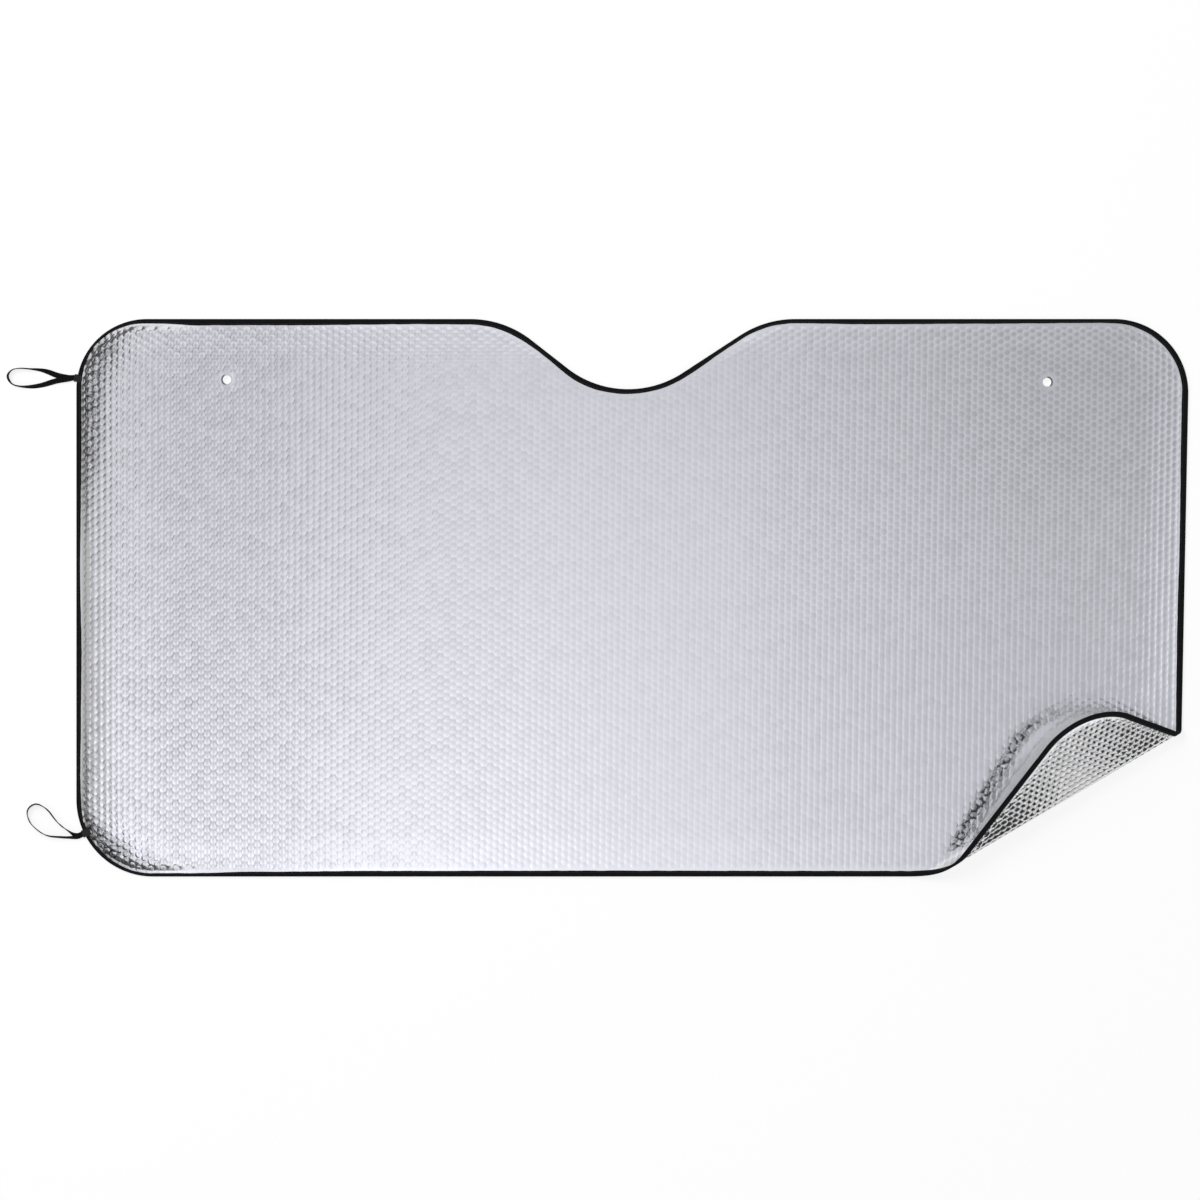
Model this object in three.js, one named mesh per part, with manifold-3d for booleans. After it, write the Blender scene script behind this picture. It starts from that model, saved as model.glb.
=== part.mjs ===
// Windscreen sunshade of silver bubble foil. One laminated sheet has a notch for the rear-view
// mirror in its top edge and a hole near each upper corner for a suction cup. A black tape is
// folded round its whole edge, and two elastic loops on the left hold the shade when it is rolled.
// It lies on its back on a flat surface, with its lower right corner curled up and over.
//
// Millimetres. X runs to the right across the sheet, Y up the sheet and Z out of its front.
// The origin is at the middle of the sheet, half-way up it, on the surface that it lies on.

import * as THREE from 'three';
import { mergeVertices } from 'three/addons/utils/BufferGeometryUtils.js';
import Module from 'manifold-3d';

const wasm = await Module();
wasm.setup();

// Outline of the sheet, measured over the tape
const topWidth = 1300;
const bottomWidth = 1287; // the right-hand edge leans in towards the bottom
const sheetHeight = 651;
const topLeftRadius = 82;
const topRightRadius = 88;
const bottomRightRadius = 76;
const bottomLeftRadius = 90;

// Notch for the mirror, in the top edge
const notchShift = -5; // of its lowest point from the middle of the edge
const notchDepth = 82;
const notchRadius = 115; // of its shoulders and its hollow
const notchSlopeLeft = 38; // degrees
const notchSlopeRight = 33.5; // degrees

// Bubble foil: rows of bubbles run up the sheet, on both of its faces
const foilThickness = 3.6; // over the rows
const pressedThickness = 1.2; // between the rows and along the edge
const rowPitch = 7.36;
const rowTopWidth = 3.6; // the flat crown of a row
const rowEndLength = 4; // over which a row dies down at the edge

// Tape folded round the edge
const tapeWidth = 6.6; // as it shows on each face
const tapeThickness = 0.6;
const clearance = 0.3; // between pieces that touch on the real shade
const pressedMargin = 2.4; // flat strip that shows between the tape and the ends of the rows

// Suction cup holes, punched through a spot that is pressed flat
const holeDiameter = 10;
const pressedSpotDiameter = 17;
const pressedSpotThickness = 1;
const leftHoleFromSide = 175.5;
const leftHoleFromTop = 71;
const rightHoleFromSide = 165;
const rightHoleFromTop = 74;

// Curl of the lower right corner: a cone that is open at the bottom edge and tight at the side
const curlDirection = 30.2; // degrees from the bottom edge to the fold
const curlReach = 144; // from the square corner of the flat sheet to the outside of the fold
const curlRadiusBottom = 19; // to the middle of the foil, where the fold meets the bottom edge
const curlRadiusSide = 8; // and where it meets the right-hand edge
const curlAngle = 137; // degrees that the corner turns through
const curlSteps = 7;

// Elastic loops
const elasticWidth = 6.5;
const elasticThickness = 1;
const upperLoopAngle = 9; // degrees up the top left corner from the straight side
const lowerLoopAngle = 26; // degrees down the bottom left corner from the straight side
const elasticSteps = 3; // between two points of the route

const roundStep = 5; // degrees between two points of a round stretch
const holeSides = 24;
const weld = 1e-4; // points nearer to each other than this are one

const radians = THREE.MathUtils.degToRad;

const sheetWidth = (topWidth + bottomWidth) / 2; // half-way up

// Heights above and below the middle of the foil
const crown = foilThickness / 2;
const pressed = pressedThickness / 2;
const tapeInside = pressed + clearance;
const tapeOutside = tapeInside + tapeThickness;

// How far in from the outline the foil ends and the rows begin
const foilInset = tapeOutside;
const rowInset = tapeWidth + pressedMargin;

// Outline

// A run is one straight or round stretch of the outline, which goes anticlockwise, so that the
// sheet lies to its left. at(share, inset) is the point at a share of the run's length, moved
// into the sheet by inset.
function makeRun(start, heading, length, sweep) {
  const radius = sweep === 0 ? 0 : length / Math.abs(sweep);
  const side = Math.sign(sweep);
  const left = angle => new THREE.Vector2(-Math.sin(angle), Math.cos(angle));
  const centre = left(heading).multiplyScalar(side * radius).add(start);
  function at(share, inset = 0) {
    if (sweep === 0) {
      const along = new THREE.Vector2(Math.cos(heading), Math.sin(heading));
      return along.multiplyScalar(length * share).add(start).addScaledVector(left(heading), inset);
    }
    return left(heading + sweep * share).multiplyScalar(inset - side * radius).add(centre);
  }
  const inward = share => left(heading + sweep * share);
  return { at, inward, sweep, end: at(1), heading: heading + sweep };
}

// The pen starts where the left side meets the bottom left corner, and faces down the side.
function drawOutline() {
  const runs = [];
  let place = new THREE.Vector2(-sheetWidth / 2, bottomLeftRadius - sheetHeight / 2);
  let heading = -Math.PI / 2;
  function add(length, sweep) {
    const run = makeRun(place, heading, length, sweep);
    place = run.end;
    heading = run.heading;
    runs.push(run);
    return run;
  }
  const forward = length => add(length, 0);
  const turn = (radius, degrees) => add(radius * Math.abs(radians(degrees)), radians(degrees));

  const steepest = radians(Math.max(notchSlopeLeft, notchSlopeRight));
  const bend = Math.min(notchRadius, notchDepth / 2 / (1 - Math.cos(steepest)));
  const flank = slope =>
    (notchDepth - 2 * bend * (1 - Math.cos(slope))) / Math.sin(slope);
  const mouth = slope => 2 * bend * Math.sin(slope) + flank(slope) * Math.cos(slope);
  const slopeLeft = radians(notchSlopeLeft);
  const slopeRight = radians(notchSlopeRight);

  const bottomLeft = turn(bottomLeftRadius, 90);
  forward(sheetWidth - bottomLeftRadius - bottomRightRadius);
  turn(bottomRightRadius, 90);
  forward(sheetHeight - bottomRightRadius - topRightRadius);
  turn(topRightRadius, 90);
  forward(sheetWidth / 2 - topRightRadius - notchShift - mouth(slopeRight));
  turn(bend, notchSlopeRight);
  forward(flank(slopeRight));
  turn(bend, -notchSlopeRight - notchSlopeLeft);
  forward(flank(slopeLeft));
  turn(bend, notchSlopeLeft);
  forward(sheetWidth / 2 - topLeftRadius + notchShift - mouth(slopeLeft));
  const topLeft = turn(topLeftRadius, 90);
  forward(sheetHeight - topLeftRadius - bottomLeftRadius);
  return { runs, topLeft, bottomLeft };
}

const outline = drawOutline();

// Shares of a run that leave no more than roundStep between two points
function spread(run, from, to) {
  const steps = Math.max(1, Math.ceil(Math.abs(run.sweep) * (to - from) / radians(roundStep)));
  return Array.from({ length: steps }, (_, i) => from + (to - from) * i / steps);
}

// The sheet is drawn with square sides. Then its right-hand side leans, and the rows fan with it.
function lean(x, y) {
  const share = x / sheetWidth + 0.5;
  return new THREE.Vector2(x + share * (topWidth - bottomWidth) * y / sheetHeight, y);
}

// Curl

// Places on the flat sheet are told by how far they are along the fold and beyond its outside.
const foldAngle = radians(curlDirection);
const foldAlong = new THREE.Vector2(Math.cos(foldAngle), Math.sin(foldAngle));
const foldAcross = new THREE.Vector2(foldAlong.y, -foldAlong.x);
const squareCorner = lean(sheetWidth / 2, -sheetHeight / 2);
const foldOffset = squareCorner.dot(foldAcross) - curlReach;
const foldAtBottom = (foldOffset * foldAlong.x - sheetHeight / 2) / foldAlong.y;
const foldAtSide = (squareCorner.x - foldOffset * foldAcross.x) / foldAlong.x;

function curlRadius(along) {
  const share = (along - foldAtBottom) / (foldAtSide - foldAtBottom);
  return THREE.MathUtils.lerp(curlRadiusBottom, curlRadiusSide, share);
}

// Length of foil between a place and the line where the sheet leaves the surface
function pastTangent(x, y) {
  const flat = new THREE.Vector2(x, y);
  return flat.dot(foldAcross) - foldOffset + curlRadius(flat.dot(foldAlong)) + crown;
}

// Takes a point of the flat sheet, at a height over the middle of the foil, to its place.
function curl(x, y, height) {
  const along = new THREE.Vector2(x, y).dot(foldAlong);
  const past = pastTangent(x, y);
  if (past <= 0) return new THREE.Vector3(x, y, crown + height);
  const radius = curlRadius(along);
  const turned = Math.min(past / radius, radians(curlAngle));
  const straight = past - radius * turned;
  const across = (radius - height) * Math.sin(turned) + straight * Math.cos(turned);
  const lift = radius - (radius - height) * Math.cos(turned) + straight * Math.sin(turned);
  const tangent = foldOffset - radius - crown;
  const place = foldAlong.clone().multiplyScalar(along).addScaledVector(foldAcross, tangent + across);
  return new THREE.Vector3(place.x, place.y, crown + lift);
}

// Meshes

// Facets are lists of corners, each x, y and height. They are all bulging, so a fan fills them.
function geometryOf(facets) {
  const triangles = facets.flatMap(facet =>
    facet.slice(2).map((corner, i) => [facet[0], facet[i + 1], corner]));
  const geometry = new THREE.BufferGeometry();
  const positions = new Float32Array(triangles.flat(2));
  geometry.setAttribute('position', new THREE.BufferAttribute(positions, 3));
  return mergeVertices(geometry, weld);
}

function solidOf(geometry) {
  const bare = geometry.clone();
  bare.deleteAttribute('normal');
  bare.deleteAttribute('uv');
  const merged = mergeVertices(bare, weld);
  return new wasm.Manifold(new wasm.Mesh({
    numProp: 3,
    vertProperties: new Float32Array(merged.attributes.position.array),
    triVerts: new Uint32Array(merged.index.array),
  }));
}

function geometryOfSolid(solid) {
  const mesh = solid.getMesh();
  const geometry = new THREE.BufferGeometry();
  geometry.setAttribute('position', new THREE.BufferAttribute(mesh.vertProperties, 3));
  geometry.setIndex(new THREE.BufferAttribute(mesh.triVerts, 1));
  return geometry;
}

// Cuts a facet in two along the line where distance(x, y) is nought. Two facets work out the new
// point on the side that they share from its ends in the same order, so the mesh stays closed.
function cutFacet(facet, distance) {
  const near = 0.02;
  const sides = facet.map(([x, y]) => {
    const d = distance(x, y);
    return Math.abs(d) < near ? 0 : d;
  });
  if (Math.min(...sides) >= 0 || Math.max(...sides) <= 0) return [facet];
  const before = [];
  const beyond = [];
  facet.forEach((corner, i) => {
    const j = (i + 1) % facet.length;
    if (sides[i] <= 0) before.push(corner);
    if (sides[i] >= 0) beyond.push(corner);
    if (sides[i] * sides[j] >= 0) return;
    const [from, to] = sides[i] < 0 ? [i, j] : [j, i];
    const share = sides[from] / (sides[from] - sides[to]);
    const cut = facet[from].map((value, axis) => value + share * (facet[to][axis] - value));
    before.push(cut);
    beyond.push(cut);
  });
  return [before, beyond];
}

// Curls facets that were made flat, once they are cut along the curl's steps.
function curled(flat) {
  let facets = flat;
  for (let step = 0; step <= curlSteps; step++) {
    const turned = radians(curlAngle) * step / curlSteps;
    const beyond = (x, y) =>
      pastTangent(x, y) - turned * curlRadius(new THREE.Vector2(x, y).dot(foldAlong));
    facets = facets.flatMap(facet => cutFacet(facet, beyond));
  }
  return facets.map(facet => facet.map(corner => curl(...corner).toArray()));
}

// Bubble foil

// Share of a run at which the ends of the rows stand at x, which goes one way along every run
function shareAt(run, x) {
  const rising = run.at(1, rowInset).x > run.at(0, rowInset).x;
  const near = 1e-9;
  let low = 0;
  let high = 1;
  while (high - low > near) {
    const middle = (low + high) / 2;
    if (run.at(middle, rowInset).x < x === rising) low = middle;
    else high = middle;
  }
  return (low + high) / 2;
}

// Points round the sheet: each has its place on the foil's edge and where the rows end, and the
// number of the valley between two rows that it stands on, if it is on one.
function walkRound(valleys) {
  return outline.runs.flatMap(run => {
    const ends = [run.at(0, rowInset).x, run.at(1, rowInset).x];
    const crossed = valleys
      .map((x, valley) => ({ valley, x }))
      .filter(({ x }) => x > Math.min(...ends) && x < Math.max(...ends))
      .map(({ valley, x }) => ({ valley, share: shareAt(run, x) }))
      .sort((a, b) => a.share - b.share);
    const stops = [{ valley: -1, share: 0 }, ...crossed];
    return stops.flatMap((stop, i) => {
      const next = i + 1 < stops.length ? stops[i + 1].share : 1;
      return spread(run, stop.share, next).map((share, j) => ({
        valley: j === 0 ? stop.valley : -1,
        edge: run.at(share, foilInset),
        end: run.at(share, rowInset),
      }));
    });
  });
}

// Drops a point between two runs where a valley meets the outline right beside it.
function thinned(walk) {
  const near = rowPitch / 8;
  const beside = (a, b) => b.valley >= 0 && a.end.distanceTo(b.end) < near;
  return walk.filter((point, i) => {
    const before = walk[(i + walk.length - 1) % walk.length];
    const after = walk[(i + 1) % walk.length];
    return point.valley >= 0 || !(beside(point, before) || beside(point, after));
  });
}

// Height of a chain of points at x
function chainAt(chain, x) {
  const i = chain.findIndex((point, at) =>
    at > 0 && (point.x - x) * (chain[at - 1].x - x) <= 0);
  const [a, b] = [chain[i - 1], chain[i]];
  return a.y + (b.y - a.y) * (x - a.x) / (b.x - a.x);
}

function makeFoil() {
  // An odd number of rows, so that one row lies along the middle of the sheet
  const room = sheetWidth - 2 * rowInset;
  const rows = 2 * Math.floor((room / rowPitch - 1) / 2) + 1;
  const valleys = Array.from({ length: rows + 1 }, (_, i) => (i - rows / 2) * rowPitch);
  const walk = thinned(walkRound(valleys));
  const low = valleys.map((_, valley) => walk.findIndex(point => point.valley === valley));
  const high = valleys.map((_, valley) => walk.findLastIndex(point => point.valley === valley));
  const ends = walk.map(point => point.end);

  const face = [];
  const fill = (...corners) => face.push(corners);
  const at = (point, height) => [point.x, point.y, height];
  const flat = points => points.map(point => at(point, pressed));

  // The slope at the end of a row, from a chain of points on the outline to the row's crown
  function rowEnd(chain, first, second) {
    const middle = Math.ceil((chain.length - 1) / 2);
    for (let i = 0; i + 1 < chain.length; i++) {
      fill(chain[i], chain[i + 1], i < middle ? first : second);
    }
    fill(first, chain[middle], second);
  }

  for (let row = 0; row < rows; row++) {
    const below = ends.slice(low[row], low[row + 1] + 1);
    const above = ends.slice(high[row + 1], high[row] + 1);
    const slope = (rowPitch - rowTopWidth) / 2;
    const [left, right] = [valleys[row] + slope, valleys[row + 1] - slope];
    const crownAt = (chain, x, inward) => [x, chainAt(chain, x) + inward * rowEndLength, crown];
    const corners = [
      crownAt(below, left, 1), crownAt(below, right, 1),
      crownAt(above, right, -1), crownAt(above, left, -1),
    ];
    rowEnd(flat(below), corners[0], corners[1]);
    rowEnd(flat(above), corners[2], corners[3]);
    fill(...corners);
    fill(at(below[0], pressed), corners[0], corners[3], at(above.at(-1), pressed));
    fill(corners[1], at(below.at(-1), pressed), at(above[0], pressed), corners[2]);
  }

  // Flat strips beside the first and last rows, and the flat margin under the tape
  fill(...flat(ends.slice(high[0])), ...flat(ends.slice(0, low[0] + 1)));
  fill(...flat(ends.slice(low[rows], high[rows] + 1)));
  const wall = [];
  walk.forEach((point, i) => {
    const next = walk[(i + 1) % walk.length];
    fill(...flat([point.edge, next.edge, next.end, point.end]));
    const [a, b] = [point.edge, next.edge];
    wall.push([at(a, -pressed), at(b, -pressed), at(b, pressed), at(a, pressed)]);
  });

  const back = face.map(facet => facet.map(([x, y, height]) => [x, y, -height]).reverse());
  const leant = ([x, y, height]) => [...lean(x, y).toArray(), height];
  return [...face, ...back, ...wall].map(facet => facet.map(leant));
}

// Suction cup holes

const holes = [
  lean(leftHoleFromSide - sheetWidth / 2, sheetHeight / 2 - leftHoleFromTop),
  lean(sheetWidth / 2 - rightHoleFromSide, sheetHeight / 2 - rightHoleFromTop),
];

// A round tool that takes away the foil between two heights over the middle of the foil
function roundTool(centre, diameter, bottom, top) {
  const tool = new THREE.CylinderGeometry(diameter / 2, diameter / 2, top - bottom, holeSides);
  tool.rotateX(Math.PI / 2);
  tool.translate(centre.x, centre.y, crown + (top + bottom) / 2);
  return solidOf(tool);
}

function punched(foil) {
  const spot = pressedSpotThickness / 2;
  const clear = foilThickness;
  return holes.reduce((solid, hole) => solid
    .subtract(roundTool(hole, pressedSpotDiameter, spot, clear))
    .subtract(roundTool(hole, pressedSpotDiameter, -clear, -spot))
    .subtract(roundTool(hole, holeDiameter, -clear, clear)), foil);
}

// Tape

// Section of the folded tape: how far in from the outline, and the height over the foil's middle
const tapeSection = [
  [tapeWidth, tapeOutside],
  ...[90, 135, 180, 225, 270].map(degrees => [
    tapeOutside + tapeOutside * Math.cos(radians(degrees)),
    tapeOutside * Math.sin(radians(degrees)),
  ]),
  [tapeWidth, -tapeOutside],
  [tapeWidth, -tapeInside],
  [tapeOutside, -tapeInside],
  [tapeThickness, 0],
  [tapeOutside, tapeInside],
  [tapeWidth, tapeInside],
];

function makeTape() {
  const stations = outline.runs.flatMap(run => spread(run, 0, 1).map(share =>
    tapeSection.map(([inset, height]) => {
      const place = run.at(share, inset);
      return [...lean(place.x, place.y).toArray(), height];
    })));
  return stations.flatMap((station, i) => {
    const next = stations[(i + 1) % stations.length];
    return station.map((corner, j) => {
      const k = (j + 1) % station.length;
      return [corner, station[k], next[k], next[j]];
    });
  });
}

// Elastic loops

// Each route starts and ends at the tape, and its points are counted from there: to the right, up
// the sheet, lift off the surface, and twist in degrees. Without twist the elastic lies flat.
const upperLoopRoute = [
  [-10.4, 0.7, 0.4, 0],
  [-23.2, 3.3, 0, 6],
  [-33.7, 7.2, 0, 32],
  [-43, 9.5, 0, 60],
  [-54.7, 10.7, 0, 82],
  [-66.4, 11.5, 0, 90],
  [-75.7, 9.7, 0, 102],
  [-80.8, 3.6, 0, 118],
  [-79.2, -2.8, 0, 114],
  [-73.9, -7.8, 0, 97],
  [-64, -9.9, 0, 104],
  [-52.4, -9.9, 0, 126],
  [-40.7, -8, 0, 142],
  [-31.4, -5.2, 0.3, 160],
  [-23.2, -2.9, 0.9, 172],
  [-11.5, -1, 1.8, 180],
];
const lowerLoopRoute = [
  [-7.2, -2.7, 0.1, 20],
  [-12.3, -1.2, 0, 48],
  [-17.4, 2.2, 0, 70],
  [-26.4, 8.7, 0, 88],
  [-33.5, 15.8, 0, 76],
  [-41.8, 26.5, 0, 74],
  [-50.2, 32.5, 0, 88],
  [-57.3, 34, 0, 98],
  [-63.8, 30.1, 0, 104],
  [-66.3, 24.1, 0, 104],
  [-64.4, 15.8, 0, 94],
  [-59.7, 8.7, 0, 98],
  [-50.2, 0.9, 0, 94],
  [-40.6, -3.2, 0, 104],
  [-26.4, -4.5, 0, 112],
  [-18, -4.8, 0.4, 116],
  [-11.5, -4.6, 1.3, 132],
  [-6.9, -3.4, 2, 160],
];

function makeLoop(run, share, route) {
  const onEdge = run.at(share);
  const seat = lean(onEdge.x, onEdge.y);
  const outward = run.inward(share).negate();
  const layer = elasticThickness + clearance;
  // The two ends are sewn in flat, one on the other, at the middle height of the tape.
  const endPoint = (distance, side, twist) => {
    const place = outward.clone().multiplyScalar(distance);
    return [place.x, place.y, crown + side * layer / 2 - elasticThickness / 2, twist];
  };
  const stem = clearance + elasticWidth / 2;
  const points = [
    endPoint(clearance, -1, 0), endPoint(stem, -1, 0),
    ...route,
    endPoint(stem, 1, 180), endPoint(clearance, 1, 180),
  ];
  const curve = values => new THREE.CatmullRomCurve3(values, false, 'catmullrom');
  const path = curve(points.map(([x, y, lift]) => new THREE.Vector3(seat.x + x, seat.y + y, lift)));
  const twists = curve(points.map(([, , , twist]) => new THREE.Vector3(twist, 0, 0)));

  const up = new THREE.Vector3(0, 0, 1);
  const steps = (points.length - 1) * elasticSteps;
  const stations = Array.from({ length: steps + 1 }, (_, i) => {
    const twist = radians(twists.getPoint(i / steps).x);
    const [across, through] = [Math.abs(Math.cos(twist)), Math.abs(Math.sin(twist))];
    const centre = path.getPoint(i / steps);
    centre.z = Math.max(centre.z, 0) + (elasticWidth * through + elasticThickness * across) / 2;
    const ahead = path.getTangent(i / steps).setZ(0).normalize();
    const wide = ahead.clone().cross(up).multiplyScalar(Math.cos(twist));
    wide.addScaledVector(up, Math.sin(twist));
    const thick = ahead.clone().cross(wide);
    return [[1, 1], [-1, 1], [-1, -1], [1, -1]].map(([a, b]) => centre.clone()
      .addScaledVector(wide, a * elasticWidth / 2)
      .addScaledVector(thick, b * elasticThickness / 2).toArray());
  });
  const facets = [stations[0].toReversed(), stations[steps]];
  for (let i = 0; i < steps; i++) {
    for (let j = 0; j < 4; j++) {
      const k = (j + 1) % 4;
      facets.push([stations[i][j], stations[i][k], stations[i + 1][k], stations[i + 1][j]]);
    }
  }
  return geometryOf(facets);
}

// Assembly

const silverFoil = new THREE.MeshStandardMaterial({ color: 0xc4c4cc, roughness: 0.3, metalness: 0.9 });
const blackTape = new THREE.MeshStandardMaterial({ color: 0x17171a, roughness: 0.75, metalness: 0 });
const blackElastic = new THREE.MeshStandardMaterial({ color: 0x141416, roughness: 0.85, metalness: 0 });

function piece(name, geometry, material) {
  const mesh = new THREE.Mesh(geometry, material);
  mesh.name = name;
  return mesh;
}

const foil = punched(solidOf(geometryOf(curled(makeFoil()))));
const upperShare = 1 - upperLoopAngle / 90;
const lowerShare = lowerLoopAngle / 90;

const sunshade = new THREE.Group();
sunshade.add(
  piece('bubble_foil_panel', geometryOfSolid(foil), silverFoil),
  piece('edge_binding', geometryOf(curled(makeTape())), blackTape),
  piece('upper_elastic_loop', makeLoop(outline.topLeft, upperShare, upperLoopRoute), blackElastic),
  piece('lower_elastic_loop', makeLoop(outline.bottomLeft, lowerShare, lowerLoopRoute), blackElastic),
);

export default sunshade;
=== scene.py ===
# Windscreen sunshade of silver bubble foil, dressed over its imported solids.
import math

import bpy
import numpy as np
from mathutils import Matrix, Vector
from mathutils.geometry import delaunay_2d_cdt


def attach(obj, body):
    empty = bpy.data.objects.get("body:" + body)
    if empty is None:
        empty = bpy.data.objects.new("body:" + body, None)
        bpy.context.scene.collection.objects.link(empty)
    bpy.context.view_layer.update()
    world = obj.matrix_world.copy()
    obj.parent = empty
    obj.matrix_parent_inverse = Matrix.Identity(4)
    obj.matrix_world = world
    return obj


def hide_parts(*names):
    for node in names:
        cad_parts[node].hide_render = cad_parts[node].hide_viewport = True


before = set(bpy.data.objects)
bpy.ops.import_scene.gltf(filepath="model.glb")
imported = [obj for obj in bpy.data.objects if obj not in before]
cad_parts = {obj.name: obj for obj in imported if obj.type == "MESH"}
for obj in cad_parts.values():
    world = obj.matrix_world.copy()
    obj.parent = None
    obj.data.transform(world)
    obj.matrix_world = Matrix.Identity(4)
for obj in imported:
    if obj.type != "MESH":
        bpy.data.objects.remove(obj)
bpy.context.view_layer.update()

# Sizes of the sheet in millimetres, as the solids have them. Pieces are made in millimetres and
# brought to metres last.
MM = 0.001
TOP_WIDTH = 1300
BOTTOM_WIDTH = 1287
SHEET_WIDTH = (TOP_WIDTH + BOTTOM_WIDTH) / 2
SHEET_HEIGHT = 651
TOP_LEFT, TOP_RIGHT, BOTTOM_RIGHT, BOTTOM_LEFT = 82, 88, 76, 90  # radii of its corners
NOTCH_SHIFT, NOTCH_DEPTH, NOTCH_RADIUS = -5, 82, 115
NOTCH_LEFT, NOTCH_RIGHT = math.radians(38), math.radians(33.5)  # slopes of its flanks

CROWN = 1.8             # top of a bubble over the middle of the foil
VALLEY = 1.2            # between bubbles
PRESSED = 0.6           # along the edge
COLUMN_PITCH = 7.36
BUBBLE_SPACING = 8.56   # up a column
BUBBLE_RADIUS = 3.35
FILM_GAP = 0.05         # from the middle of the foil to the inside of each film
FOIL_INSET = 1.5

TAPE_WIDTH = 6.6
TAPE_THICKNESS = 0.6
TAPE_INSIDE = 0.9
TAPE_OUTSIDE = TAPE_INSIDE + TAPE_THICKNESS

# Suction cup holes, each in a spot that is pressed flat
HOLE_RADIUS = 5
SPOT_RADIUS = 8.5
SPOT_HEIGHT = 0.5
LEFT_HOLE_FROM_SIDE, LEFT_HOLE_FROM_TOP = 175.5, 71
RIGHT_HOLE_FROM_SIDE, RIGHT_HOLE_FROM_TOP = 165, 74
HOLES = np.array([
    [LEFT_HOLE_FROM_SIDE - SHEET_WIDTH / 2, SHEET_HEIGHT / 2 - LEFT_HOLE_FROM_TOP],
    [SHEET_WIDTH / 2 - RIGHT_HOLE_FROM_SIDE, SHEET_HEIGHT / 2 - RIGHT_HOLE_FROM_TOP],
])
HOLE_SHADE_SIDES = (185, 20)      # the side, in degrees, on which shade is painted at each hole's rim
RIM_SHADE_RADII = (5.7, 7.6)     # radii between which that painted shade fades
LIP_HEIGHT = 0.22           # the film stands up round the rim
LIP_RADIUS, LIP_WIDTH = 8.2, 1.1

PINCH_DOME = 1.6        # how full the foil puckers, next to a bubble, by the folded corner
CORNER_DOME = 1.3       # and by the left-hand corners
RIDGE_SHARE = 0.95      # height of a ridge next to that of a bubble

# How full the front bubbles stand, how much shade is painted in the creases between them, and
# how far their columns run together into ridges, by the place along the sheet.
FULLNESS = [(-620, 0.95), (-420, 0.85), (-340, 0.8), (-200, 0.75), (-80, 0.55), (100, 0.55),
            (200, 0.9), (560, 1.1)]
CREASE_SHADE_LEVELS = [(-640, 0.22), (-540, 0.27), (-420, 0.22), (-330, 0.12), (-200, 0.06), (-60, 0.0)]
RIDGES = [(-640, 0.0), (-560, 0.15), (-440, 0.2), (-380, 0.1), (-100, 0.0), (120, 0.2),
          (230, 0.55), (360, 0.7), (640, 0.6)]
TAUT_SLOPE = 0.09       # of the taut film towards the folded corner
PINCH_WIDTH = 8         # of the puckered band beyond it
LEFT_FALL = 2.4         # of the film to the left-hand side, beyond that of the sheet
IRONED_RIM = 15         # how far in the film is pressed plain along that side
EDGE_FALL = 1.6         # of the film to the tape behind

CURL_DIRECTION = math.radians(30.2)
CURL_REACH = 144
CURL_RADIUS_BOTTOM = 19
CURL_RADIUS_SIDE = 8
CURL_ANGLE = math.radians(137)

SWELL = 2.2             # of the slack sheet off the floor
SWELL_LEFT = 4          # and near its left-hand side, from and to these places left of the middle
SWELL_LEFT_REACH = (380, 600)
SWELL_WAVE = 0.8
SWELL_WAVES = [(0.3, 62, 0.8), (0.2, 71, -1.1)]  # share, run and start, across and up the sheet
SWELL_RIM = 52          # over which it lies down along its edge
SWELL_CORNER = 84
SWELL_FOLD = 70         # over which it lies down before the fold

ELASTIC_WIDTH = 6.5
ELASTIC_THICKNESS = 1
CLEARANCE = 0.3

rng = np.random.default_rng(7)


def eased(share):
    """A share from 0 to 1, made gentle at both ends."""
    return share * share * (3 - 2 * share)


def smooth_step(value, low, high):
    return eased(np.clip((value - low) / (high - low), 0, 1))


def read_off(places, stops):
    """Values at places, on straight lines between stops of a place and a value."""
    return np.interp(places, *np.array(stops).T)


def round_points(sides, radius):
    turns = np.arange(sides) * 2 * math.pi / sides
    return radius * np.column_stack([np.cos(turns), np.sin(turns)])


# Outline

def run_at(run, share, inset=0.0):
    """Point at a share of a run, moved into the sheet by inset, and the direction inward."""
    start, heading, length, sweep = run
    turned = heading + sweep * share
    inward = np.array([-math.sin(turned), math.cos(turned)])
    if sweep == 0:
        along = np.array([math.cos(heading), math.sin(heading)])
        return start + along * length * share + inward * inset, inward
    side = math.copysign(1, sweep)
    radius = length / abs(sweep)
    centre = start + side * radius * np.array([-math.sin(heading), math.cos(heading)])
    return centre + (inset - side * radius) * inward, inward


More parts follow.
